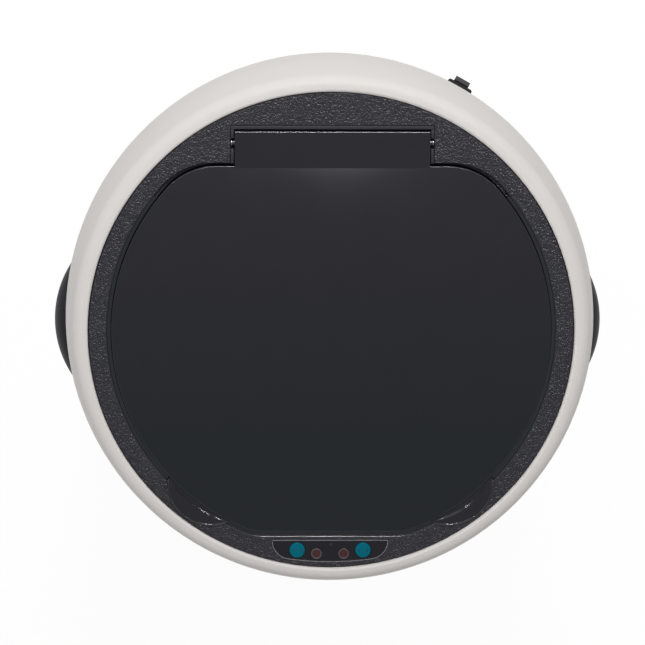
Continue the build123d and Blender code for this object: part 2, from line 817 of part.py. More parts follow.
def gear_points(teeth, phase):
    """Corner points of a gear outline, one tooth centred on the phase angle in degrees."""
    pitch = gear_module * teeth / 2
    base = pitch * cos(radians(pressure_angle))
    tip = pitch + tooth_tip * gear_module
    root = pitch - tooth_root * gear_module
    roll = tan(radians(pressure_angle)) - radians(pressure_angle)
    half_tooth = pi / (2 * teeth) - backlash / (2 * pitch)
    low = max(root, base)
    flank = []
    for step in range(5):
        radius = low + (tip - low) * step / 4
        turn = sqrt(max((radius / base) ** 2 - 1, 0))
        flank.append((radius, half_tooth + roll - (turn - atan2(turn, 1))))
    if root < base:
        flank.insert(0, (root, flank[0][1]))
    points = []
    for tooth in range(teeth):
        middle = radians(phase) + 2 * pi * tooth / teeth
        points += [(r * cos(middle - a), r * sin(middle - a)) for r, a in flank]
        points += [(r * cos(middle + a), r * sin(middle + a)) for r, a in reversed(flank)]
    return points


# Lid gear: part-turn gear on the shaft; angles run from +v towards +w
sector_margin = 14.0
sector_start = -90.0 - sector_margin
sector_span = lid_open_angle + 2 * sector_margin
with BuildPart() as lid_gear:
    with BuildSketch(across(gear_u, hinge_v, hinge_w)):
        with BuildLine():
            Polyline(*gear_points(lid_teeth, -90.0), close=True)
        make_face()
        with BuildLine():
            far = 4 * lid_pitch
            Line((0, 0), (far * cos(radians(sector_start)), far * sin(radians(sector_start))))
            CenterArc((0, 0), far, sector_start, sector_span)
            end = radians(sector_start + sector_span)
            Line((far * cos(end), far * sin(end)), (0, 0))
        make_face(mode=Mode.INTERSECT)
        Circle(hub_radius)
        Circle(shaft_radius + running_gap, mode=Mode.SUBTRACT)
    extrude(amount=gear_width)
finish_piece(lid_gear, "lid_gear")

# Drive gear on the gear case's output shaft
output_radius = 2.0
with BuildPart() as drive_gear:
    with BuildSketch(across(gear_u, hinge_v, drive_w)):
        with BuildLine():
            Polyline(*gear_points(drive_teeth, 90.0 + 180.0 / drive_teeth), close=True)
        make_face()
    extrude(amount=gear_width)
    with BuildSketch(across(gear_u, hinge_v, drive_w)):
        Circle(output_radius)
    extrude(amount=-(gear_gap + case_length / 2))
finish_piece(drive_gear, "drive_gear")

# Gear case: sealed reduction gears behind the drive gear
with BuildPart() as gear_case:
    with BuildSketch(across(case_u, hinge_v, drive_w)):
        with Locations((0, -(case_low + case_top) / 2 - drive_w)):
            RectangleRounded(2 * case_half, case_low - case_top, 3)
        with Locations((foot_v - hinge_v, foot_thickness / 2 - case_low - drive_w)):
            Rectangle(2 * foot_half, foot_thickness)
    extrude(amount=case_length)
    for u in case_screws_u:
        with BuildSketch(face_spot(u, foot_screw_v, -case_low)):
            Circle(case_screw_radius + seat_gap)
        extrude(amount=foot_thickness, mode=Mode.SUBTRACT)
    with BuildSketch(across(case_u + case_length, hinge_v, drive_w)):
        Circle(output_radius + running_gap)
    extrude(amount=-(case_length / 2 + seat_gap), mode=Mode.SUBTRACT)
finish_piece(gear_case, "gear_case")

# Drive motor: small can motor bolted to the gear case
with BuildPart() as drive_motor:
    with BuildSketch(across(case_u, motor_v, motor_w)):
        Circle(motor_radius)
        Rectangle(3 * motor_radius, 1.5 * motor_radius, mode=Mode.INTERSECT)
    extrude(amount=-motor_length)
    with BuildSketch(across(case_u - motor_length, motor_v, motor_w)):
        Circle(3.0)
    extrude(amount=-2.0)
finish_piece(drive_motor, "drive_motor")

# Gear case screws, down through the foot
with BuildPart() as case_screws:
    for u in case_screws_u:
        with Locations(face_spot(u, foot_screw_v, foot_thickness - case_low)):
            screw(case_screw_radius, foot_thickness + 2.4, 2.3, 1.4)
finish_piece(case_screws, "case_screws")

# Screws down through the ledge into the housing posts
with BuildPart() as housing_screws:
    with Locations(face_at(-recess_depth)):
        with Locations(*housing_screw_places):
            screw(housing_screw_radius, ledge_thickness + housing_screw_length - 1.0, 2.7, 1.3)
finish_piece(housing_screws, "housing_screws")

# Main circuit board with its chips, relay and connectors
with BuildPart() as main_board:
    with BuildSketch(face_at(-main_board_low)):
        with Locations(main_board_centre):
            RectangleRounded(*main_board_size, 1.5)
        with Locations(*main_board_screws):
            Circle(case_screw_radius + seat_gap, mode=Mode.SUBTRACT)
    extrude(amount=board_thickness)
    with BuildSketch(face_at(board_thickness - main_board_low)):
        with Locations((main_board_centre[0] - 6, main_board_centre[1])):
            Rectangle(14, 9)
        with Locations((main_board_centre[0] + 12, main_board_centre[1] + 3)):
            Rectangle(11, 8)
        with Locations((main_board_centre[0] + 10, main_board_centre[1] - 9)):
            Rectangle(9, 5)
    extrude(amount=4.0)
finish_piece(main_board, "main_board")

# Small screws that hold both boards
with BuildPart() as board_screws:
    for u, v in main_board_screws:
        with Locations(face_spot(u, v, board_thickness - main_board_low)):
            screw(case_screw_radius, board_thickness + 4.0, 2.3, 1.4)
    with Locations(face_at(-board_top - board_thickness)):
        with Locations((board_screw_u, board_v), (-board_screw_u, board_v)):
            with Locations(Rotation(180, 0, 0)):
                screw(board_screw_radius, board_thickness + board_screw_length - 1.0, 2.2, 1.3)
finish_piece(board_screws, "board_screws")

# Dry cells in the bay, two rows of two, end to end
cell_radius = 7.2
cell_length = 49.2
cell_nub = 1.3
cell_pitch = 15.0
cell_w = -(housing_depth - cell_radius - 0.3)
cell_rows = (door_v - cell_pitch / 2, door_v + cell_pitch / 2)
with BuildPart() as dry_cells:
    for row in cell_rows:
        for start in (-(cell_length + cell_nub) - 0.1, 0.1):
            with BuildSketch(across(start, row, cell_w)):
                Circle(cell_radius)
            extrude(amount=cell_length)
            with BuildSketch(across(start + cell_length, row, cell_w)):
                Circle(2.7)
            extrude(amount=cell_nub)
finish_piece(dry_cells, "dry_cells")

# Sprung contact plates at the ends of the bay
contact_height = 11.0
contact_thickness = 0.5
with BuildPart() as cell_contacts:
    for row in cell_rows:
        for u in (-(cell_length + cell_nub) - 0.2 - contact_thickness, cell_length + cell_nub + 0.2):
            with BuildSketch(across(u, row, cell_w)):
                Rectangle(contact_height, contact_height)
            extrude(amount=contact_thickness)
finish_piece(cell_contacts, "cell_contacts")

# Bay cradle: ribbed insert that carries the cells and contact plates
cradle_wall = 1.2
cradle_length = 2 * (cell_length + cell_nub + 0.3 + contact_thickness)
cradle_top = shelf_top + housing_wall + 0.1
with BuildPart() as cell_cradle:
    with BuildSketch(face_at(-cradle_top)):
        with Locations((0, door_v)):
            Rectangle(cradle_length + 2 * cradle_wall, 2 * cell_pitch)
    extrude(amount=-(housing_depth - cradle_top - 1.0))
    for row in cell_rows:
        with BuildSketch(across(-cradle_length / 2, row, cell_w)):
            Circle(cell_radius + seat_gap)
            with Locations((0, -cell_radius)):
                Rectangle(2 * (cell_radius + seat_gap), 2 * cell_radius)
        extrude(amount=cradle_length, mode=Mode.SUBTRACT)
    for side in (-1, 1):
        middle = side * (cell_length + cell_nub + 0.2 + contact_thickness / 2)
        with BuildSketch(across(middle - (contact_thickness + seat_gap) / 2, door_v, cell_w)):
            Rectangle(cell_pitch + contact_height + seat_gap, contact_height + seat_gap)
        extrude(amount=contact_thickness + seat_gap, mode=Mode.SUBTRACT)
finish_piece(cell_cradle, "cell_cradle")

# Cell door: slides forward out of its rails
grip_ribs = 5
with BuildPart() as cell_door:
    with BuildSketch(face_at(-housing_depth - door_slip)):
        with Locations((0, door_v)):
            Rectangle(door_length, door_width)
    extrude(amount=-door_thickness)
    with BuildSketch(face_at(-housing_depth - door_slip - door_thickness)):
        with Locations((0, door_v + door_width / 4)):
            with GridLocations(0, 2.6, 1, grip_ribs):
                Rectangle(26, 1.1)
    extrude(amount=-0.8)
finish_piece(cell_door, "cell_door")

# Control lens: smoked strip over the sensors
with BuildPart() as control_lens:
    with BuildSketch(face_at(-frame_sink)):
        panel_outline()
        with Locations((button_u, button_v), (-button_u, button_v)):
            Circle(button_radius + button_slip, mode=Mode.SUBTRACT)
        with Locations((window_u, window_v), (-window_u, window_v)):
            Circle(window_radius + seat_gap, mode=Mode.SUBTRACT)
        with Locations((led_u, led_v)):
            Circle(led_radius + seat_gap, mode=Mode.SUBTRACT)
    extrude(amount=-panel_depth)
finish_piece(control_lens, "control_lens")

# Round dark red windows over the infrared pair
window_rise = 0.3
window_depth = 2.4
for u, name in ((-window_u, "emitter_window"), (window_u, "receiver_window")):
    with BuildPart() as window:
        with BuildSketch(face_at(window_rise - frame_sink)):
            with Locations((u, window_v)):
                Circle(window_radius)
        extrude(amount=-window_depth)
    finish_piece(window, name)

# Infrared emitter and receiver, standing on the sensor board
diode_radius = 2.5
diode_top = 4.4
for u, name in ((-window_u, "infrared_emitter"), (window_u, "infrared_receiver")):
    with BuildPart() as diode:
        with BuildSketch(face_at(-board_top)):
            with Locations((u, window_v)):
                Circle(diode_radius)
        extrude(amount=board_top - diode_top)
        fillet(diode.faces().sort_by(Axis(face_origin, face_normal))[-1].edges(), 2.2)
    finish_piece(diode, name)

# Status light guide
with BuildPart() as status_light:
    with BuildSketch(face_at(-frame_sink)):
        with Locations((led_u, led_v)):
            Circle(led_radius)
    extrude(amount=-(board_top - frame_sink))
finish_piece(status_light, "status_light")

# Sensor board behind the control panel
with BuildPart() as sensor_board:
    with BuildSketch(face_at(-board_top)):
        with Locations((0, board_v)):
            RectangleRounded(*board_size, 1.0)
        with Locations((board_screw_u, board_v), (-board_screw_u, board_v)):
            Circle(board_screw_radius + seat_gap, mode=Mode.SUBTRACT)
    extrude(amount=-board_thickness)
finish_piece(sensor_board, "sensor_board")

# Push buttons, each with a collar under the frame, over its own small switch
button_rise = 0.6
button_travel = 0.8
collar_thickness = 1.0
plunger_height = 1.0
switch_body_height = 3.5
button_low = board_top - switch_body_height - plunger_height - button_travel - seat_gap
for u, name in ((-button_u, "open_button"), (button_u, "close_button")):
    with BuildPart() as button:
        with BuildSketch(face_at(button_rise - frame_sink)):
            with Locations((u, button_v)):
                Circle(button_radius)
        extrude(amount=-(button_low + button_rise - frame_sink))
        fillet(button.faces().sort_by(Axis(face_origin, face_normal))[-1].edges(), 0.4)
        with BuildSketch(face_at(-frame_under - rest_gap)):
            with Locations((u, button_v)):
                Circle(button_radius + 0.8)
        extrude(amount=-collar_thickness)
    finish_piece(button, name)

with BuildPart() as button_switches:
    with BuildSketch(face_at(-board_top)):
        with Locations((button_u, button_v), (-button_u, button_v)):
            Rectangle(6, 6)
    extrude(amount=switch_body_height)
    with BuildSketch(face_at(switch_body_height - board_top)):
        with Locations((button_u, button_v), (-button_u, button_v)):
            Circle(1.7)
    extrude(amount=plunger_height)
finish_piece(button_switches, "button_switches")

# Harness cable from the sensor board round to the rear housing
cable_start = -104.3
cable_gap = 1.4
cable_stop = housing_half + cable_gap
cable_end = -180 - degrees(atan2(sqrt(cable_circle**2 - cable_stop**2), cable_stop))
with BuildPart() as harness_cable:
    with BuildLine(face_at(cable_w)) as cable_path:
        CenterArc((0, 0), cable_circle, cable_start, cable_end - cable_start)
    with BuildSketch(Plane(origin=cable_path.line @ 0, z_dir=cable_path.line % 0)):
        Circle(cable_radius)
    sweep(path=cable_path.line)
finish_piece(harness_cable, "harness_cable")

# Clips that hold the cable up under the recess
clip_angles = (-118.0, -145.0, -180.0, -205.0)
clip_width = 6.0
with BuildPart() as cable_clips:
    with BuildSketch(face_at(-ledge_low)):
        for angle in clip_angles:
            with PolarLocations(opening_radius + recess_wall / 2, 1, start_angle=angle):
                with Locations((clip_width / 4, 0)):
                    Rectangle(1.6 * clip_width, clip_width)
    extrude(amount=-(2 * cable_radius + 3.4))
    with BuildLine(face_at(cable_w)) as clip_path:
        CenterArc((0, 0), cable_circle, cable_start, cable_end - cable_start)
    with BuildSketch(Plane(origin=clip_path.line @ 0, z_dir=clip_path.line % 0)):
        Circle(cable_radius + running_gap)
    sweep(path=clip_path.line, mode=Mode.SUBTRACT)
finish_piece(cable_clips, "cable_clips")

# Power switch on the skirt
bezel_height = 2.0
switch_depth = 13.0
rocker_width = 9.0
rocker_half = 6.6
rocker_high = 3.8
rocker_pin = 1.2
rocker_pivot = -1.0
rocker_slip = 0.15
rocker_end_gap = 0.5
pocket_depth = 7.0
with BuildPart() as switch_body:
    with BuildSketch(switch_plane(switch_seat)):
        RectangleRounded(switch_width, switch_height, 1.0)
    extrude(amount=bezel_height)
    bezel_face = switch_body.faces().sort_by(Axis((0, 0, 0), switch_out))[-1]
    chamfer(bezel_face.edges(), 0.8)
    with BuildSketch(switch_plane(switch_seat)):
        Rectangle(*switch_hole)
    extrude(amount=-switch_depth)
    with BuildSketch(switch_plane(switch_seat + bezel_height)):
        Rectangle(rocker_width + 0.5, 2 * (rocker_half + rocker_end_gap))
    extrude(amount=-pocket_depth, mode=Mode.SUBTRACT)
    pin_at = switch_plane(switch_seat + bezel_height + rocker_pivot)
    with BuildSketch(Plane(origin=pin_at.origin, x_dir=switch_out, z_dir=pin_at.x_dir)):
        Circle(rocker_pin + rocker_slip)
    extrude(amount=rocker_width / 2 + 1.2, both=True, mode=Mode.SUBTRACT)
    with BuildSketch(switch_plane(switch_seat - switch_depth)):
        with GridLocations(0, 7.0, 1, 2):
            Rectangle(0.8, 4.8)
    extrude(amount=-6.0)
finish_piece(switch_body, "switch_body")

# Rocker, tipped to its resting side
with BuildPart() as power_rocker:
    side_plane = Plane(
        origin=switch_out * (switch_seat + bezel_height) + Vector(0, 0, switch_z),
        x_dir=(0, 0, 1),
        z_dir=pin_at.x_dir,
    )
    with BuildSketch(side_plane):
        Polygon(
            (rocker_half, -1.2),
            (rocker_half - 1.2, rocker_high),
            (0, 0.8),
            (-rocker_half, 0.3),
            (-rocker_half, -1.2),
            (0, -4.2),
            align=None,
        )
    extrude(amount=rocker_width / 2, both=True)
    with BuildSketch(Plane(origin=pin_at.origin, x_dir=switch_out, z_dir=pin_at.x_dir)):
        Circle(rocker_pin)
    extrude(amount=rocker_width / 2 + 1.0, both=True)
finish_piece(power_rocker, "power_rocker")
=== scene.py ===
"""Looks of a round automatic kitchen bin: pearl head, tilted grained face and dark hinged lid."""

from __future__ import annotations

import json
import logging
from dataclasses import dataclass, field
from enum import Enum
from math import atan2, cos, pi, radians, sin, sqrt

import bmesh
import bpy
from mathutils import Matrix, Vector

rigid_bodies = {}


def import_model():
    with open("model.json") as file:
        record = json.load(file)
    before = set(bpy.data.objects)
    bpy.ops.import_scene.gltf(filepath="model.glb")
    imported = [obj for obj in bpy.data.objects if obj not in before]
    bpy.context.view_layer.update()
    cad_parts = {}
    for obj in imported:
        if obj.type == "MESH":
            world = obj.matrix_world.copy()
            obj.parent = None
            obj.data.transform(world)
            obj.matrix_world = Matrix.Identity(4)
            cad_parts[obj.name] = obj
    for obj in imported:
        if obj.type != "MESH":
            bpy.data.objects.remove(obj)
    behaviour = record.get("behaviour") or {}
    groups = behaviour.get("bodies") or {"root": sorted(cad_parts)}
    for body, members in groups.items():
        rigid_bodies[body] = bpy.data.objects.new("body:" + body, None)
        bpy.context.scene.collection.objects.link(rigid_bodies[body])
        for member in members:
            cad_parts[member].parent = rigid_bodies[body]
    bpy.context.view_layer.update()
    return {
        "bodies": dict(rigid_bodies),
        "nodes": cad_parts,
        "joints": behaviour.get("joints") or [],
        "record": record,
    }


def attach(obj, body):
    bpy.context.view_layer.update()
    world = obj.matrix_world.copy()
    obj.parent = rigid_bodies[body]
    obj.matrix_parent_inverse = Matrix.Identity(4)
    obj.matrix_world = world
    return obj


LOG = logging.getLogger("bin")
MM = 0.001
FULL_TURN = 2 * pi
QUARTER_TURN = pi / 2
MERGE_REACH = 1e-6
SMOOTH_ANGLE = radians(40)
WHITE = (1, 1, 1, 1)


@dataclass(frozen=True)
class FacePlane:
    """The tilted face that the lid closes, in face coordinates u, v, w.

    u runs to the right, v up the slope to the rear and w out of the face, in metres.
    """

    tilt: float = radians(13.5)
    distance: float = 43.8 * MM
    dome_height: float = 564.0 * MM

    @property
    def normal(self) -> Vector:
        """The direction out of the face."""
        return Vector((0, -sin(self.tilt), cos(self.tilt)))

    @property
    def rear(self) -> Vector:
        """The direction up the slope."""
        return Vector((0, cos(self.tilt), sin(self.tilt)))

    @property
    def origin(self) -> Vector:
        """The middle of the face."""
        return Vector((0, 0, self.dome_height)) + self.normal * self.distance

    def matrix(self) -> Matrix:
        """The transform that carries face coordinates into the frame.

        Returns:
            A 4 by 4 matrix.
        """
        columns = Matrix((Vector((1, 0, 0)), self.rear, self.normal)).transposed()
        return Matrix.Translation(self.origin) @ columns.to_4x4()


class Grain(Enum):
    """How a moulded surface is textured."""

    NONE = "none"
    FINE = "fine"
    PEBBLE = "pebble"


class NodeBench:
    """Adds and joins the nodes of one material."""

    def __init__(self, name: str) -> None:
        """Start a material.

        Args:
            name: The material's name.
        """
        self.material = bpy.data.materials.new(name)
        self.material.use_nodes = True
        self.tree = self.material.node_tree
        self.shader = self.tree.nodes["Principled BSDF"]

    def add(self, kind: str, **values: object) -> bpy.types.Node:
        """Add a node.

        Args:
            kind: The node's type.
            **values: Its input values, by socket name with underscores for spaces.

        Returns:
            The node.
        """
        node = self.tree.nodes.new(kind)
        for key, value in values.items():
            node.inputs[key.replace("_", " ")].default_value = value
        return node

    def join(self, start: bpy.types.NodeSocket, end: bpy.types.NodeSocket) -> None:
        """Join an output to an input.

        Args:
            start: The output.
            end: The input.
        """
        self.tree.links.new(start, end)

    def compute(
        self, operation: str, *terms: bpy.types.NodeSocket | float
    ) -> bpy.types.NodeSocket:
        """Add one step of arithmetic.

        Args:
            operation: The operation's name.
            *terms: Sockets or plain numbers.

        Returns:
            The result's socket.
        """
        node = self.tree.nodes.new("ShaderNodeMath")
        node.operation = operation
        for index, term in enumerate(terms):
            if isinstance(term, (int, float)):
                node.inputs[index].default_value = term
            else:
                self.join(term, node.inputs[index])
        return node.outputs[0]

    def face_place(self, face: FacePlane) -> tuple[bpy.types.NodeSocket, bpy.types.NodeSocket]:
        """Add nodes that give the place on the tilted face.

        Args:
            face: The tilted face.

        Returns:
            The sockets of u and v, in metres.
        """
        place = self.add("ShaderNodeTexCoord")
        offset = face.matrix().inverted().to_translation()
        mapping = self.add("ShaderNodeMapping", Location=offset, Rotation=(-face.tilt, 0, 0))
        split = self.add("ShaderNodeSeparateXYZ")
        self.join(place.outputs["Object"], mapping.inputs["Vector"])
        self.join(mapping.outputs["Vector"], split.inputs["Vector"])
        return split.outputs["X"], split.outputs["Y"]


@dataclass(frozen=True)
class Finish:
    """One surface finish, built as a node material."""

    name: str
    colour: tuple[float, float, float]
    roughness: float = 0.5
    metallic: float = 0.0
    coat: float = 0.0
    coat_roughness: float = 0.1
    specular: float = 0.5
    grain: Grain = Grain.NONE
    grain_scale: float = 2200.0
    grain_depth: float = 0.02
    grain_detail: float = 3.0
    mottle: float = 0.04
    mottle_scale: float = 60.0
    mottle_detail: float = 4.0
    cloud_low: float = 0.3
    cloud_high: float = 0.7
    tint_low: float = 0.35
    tint_high: float = 0.65
    pebble_spread: float = 0.45
    pebble_rise: float = 1.6
    pebble_detail: float = 2.0
    roughness_spread: float = 0.04
    least_roughness: float = 0.02

    def build(self) -> bpy.types.Material:
        """Make the material.

        Returns:
            The material, with colour variation, roughness variation and grain.
        """
        bench = NodeBench(self.name)
        shader = bench.shader
        shader.inputs["Metallic"].default_value = self.metallic
        shader.inputs["Coat Weight"].default_value = self.coat
        shader.inputs["Coat Roughness"].default_value = self.coat_roughness
        shader.inputs["Specular IOR Level"].default_value = self.specular
        place = bench.add("ShaderNodeTexCoord")
        cloud = bench.add("ShaderNodeTexNoise", Scale=self.mottle_scale, Detail=self.mottle_detail)
        bench.join(place.outputs["Object"], cloud.inputs["Vector"])
        bench.join(self.tint(bench, cloud.outputs["Fac"]), shader.inputs["Base Color"])
        gloss = bench.add(
            "ShaderNodeMapRange",
            From_Min=self.cloud_low,
            From_Max=self.cloud_high,
            To_Min=max(self.roughness - self.roughness_spread, self.least_roughness),
            To_Max=min(self.roughness + self.roughness_spread, 1.0),
        )
        bench.join(cloud.outputs["Fac"], gloss.inputs["Value"])
        bench.join(gloss.outputs["Result"], shader.inputs["Roughness"])
        self.relief(bench, place.outputs["Object"])
        return bench.material

    def tint(self, bench: NodeBench, cloud: bpy.types.NodeSocket) -> bpy.types.NodeSocket:
        """Colour that drifts a little over the surface.

        Args:
            bench: The material's nodes.
            cloud: A soft noise.

        Returns:
            The colour's socket.
        """
        ramp = bench.add("ShaderNodeValToRGB")
        stops = ramp.color_ramp.elements
        places = (self.tint_low, self.tint_high)
        levels = (1 - self.mottle, 1 + self.mottle)
        for stop, place, level in zip(stops, places, levels):
            stop.position = place
            stop.color = (*[min(c * level, 1) for c in self.colour], 1)
        bench.join(cloud, ramp.inputs["Fac"])
        return ramp.outputs["Color"]

    def relief(self, bench: NodeBench, place: bpy.types.NodeSocket) -> None:
        """Join the moulded grain to the shader.

        Args:
            bench: The material's nodes.
            place: Where on the object a point lies.
        """
        if self.grain is Grain.NONE:
            return
        bump = bench.add("ShaderNodeBump", Strength=1.0, Distance=self.grain_depth * MM)
        if self.grain is Grain.PEBBLE:
            height = self.pebbles(bench, place)
        else:
            noise = bench.add(
                "ShaderNodeTexNoise", Scale=self.grain_scale, Detail=self.grain_detail
            )
            bench.join(place, noise.inputs["Vector"])
            height = noise.outputs["Fac"]
        bench.join(height, bump.inputs["Height"])
        bench.join(bump.outputs["Normal"], bench.shader.inputs["Normal"])

    def pebbles(self, bench: NodeBench, place: bpy.types.NodeSocket) -> bpy.types.NodeSocket:
        """Raised pebbles of uneven height, as in a leather grain.

        Args:
            bench: The material's nodes.
            place: Where on the object a point lies.

        Returns:
            The height's socket.
        """
        cell = bench.add("ShaderNodeTexVoronoi", Scale=self.grain_scale, Randomness=1.0)
        wide_scale = self.grain_scale * self.pebble_spread
        wide = bench.add("ShaderNodeTexNoise", Scale=wide_scale, Detail=self.pebble_detail)
        bench.join(place, cell.inputs["Vector"])
        bench.join(place, wide.inputs["Vector"])
        dome = bench.compute("SUBTRACT", 1.0, cell.outputs["Distance"])
        return bench.compute("MULTIPLY_ADD", wide.outputs["Fac"], self.pebble_rise, dome)


@dataclass(frozen=True)
class LidFinish(Finish):
    """Smooth lid plastic: crowned a little before the hinge block, with a painted reflection that
    turns it darker and bluer towards the front.
    """

    face: FacePlane = field(default_factory=FacePlane)
    # Painted reflection: the darker, bluer colour that the lid is painted at its front.
    painted_reflection_colour: tuple[float, float, float] = (0.003, 0.0065, 0.0105)
    reflection_front: float = -60.0 * MM
    reflection_rear: float = 60.0 * MM
    block_front: float = 93.0 * MM
    block_slope: float = 0.05
    crown_length: float = 75.0 * MM
    crown_slope: float = 0.2
    crown_half_width: float = 66.0 * MM

    def tint(self, bench: NodeBench, cloud: bpy.types.NodeSocket) -> bpy.types.NodeSocket:
        """Colour that turns from the rear's to the front's, a painted reflection that is darker
        and bluer.

        Args:
            bench: The material's nodes.
            cloud: A soft noise.

        Returns:
            The colour's socket.
        """
        across, along = bench.face_place(self.face)
        reach = bench.add(
            "ShaderNodeMapRange", From_Min=self.reflection_front, From_Max=self.reflection_rear
        )
        bench.join(along, reach.inputs["Value"])
        # Painted reflection: blends the lid's own colour into the darker, bluer front.
        mix = bench.add("ShaderNodeMix")
        mix.data_type = "RGBA"
        mix.inputs[6].default_value = (*self.painted_reflection_colour, 1)
        bench.join(reach.outputs["Result"], mix.inputs[0])
        bench.join(super().tint(bench, cloud), mix.inputs[7])
        self.crown(bench, across, along)
        return mix.outputs[2]

    def crown(
        self, bench: NodeBench, across: bpy.types.NodeSocket, along: bpy.types.NodeSocket
    ) -> None:
        """Join the lid's slight crown and the block's slope to the shader.

        Args:
            bench: The material's nodes.
            across: The place to the right, u.
            along: The place to the rear, v.
        """
        behind = bench.compute("MAXIMUM", bench.compute("SUBTRACT", along, self.block_front), 0.0)
        block = bench.compute("MULTIPLY", behind, self.block_slope)
        start = self.block_front - self.crown_length
        into = bench.compute("MAXIMUM", bench.compute("SUBTRACT", along, start), 0.0)
        into = bench.compute("MINIMUM", into, self.crown_length)
        part = bench.compute("POWER", bench.compute("DIVIDE", into, self.crown_length), 3.0)
        drop = bench.compute("MULTIPLY", part, self.crown_slope * self.crown_length / 3)
        wide = bench.compute("POWER", bench.compute("DIVIDE", across, self.crown_half_width), 2.0)
        fade = bench.compute("DIVIDE", 1.0, bench.compute("ADD", wide, 1.0))
        height = bench.compute("SUBTRACT", block, bench.compute("MULTIPLY", drop, fade))
        bump = bench.add("ShaderNodeBump", Strength=1.0, Distance=1.0)
        bench.join(height, bump.inputs["Height"])
        bench.join(bump.outputs["Normal"], bench.shader.inputs["Normal"])


@dataclass(frozen=True)
class Lamp:
    """One soft rectangular lamp, in metres and watts."""

    name: str
    place: tuple[float, float, float]
    width: float
    length: float
    power: float


LAMPS = (
    Lamp("key_lamp", (0.05, 0.98, 2.23), 0.45, 0.07, 18.0),
    Lamp("top_lamp", (-0.15, 0.55, 2.9), 1.4, 0.9, 7.0),
    Lamp("left_lamp", (-1.28, 0.93, 2.2), 0.1, 0.1, 3.2),
    Lamp("right_lamp", (1.28, 0.93, 2.2), 0.1, 0.1, 3.2),
)


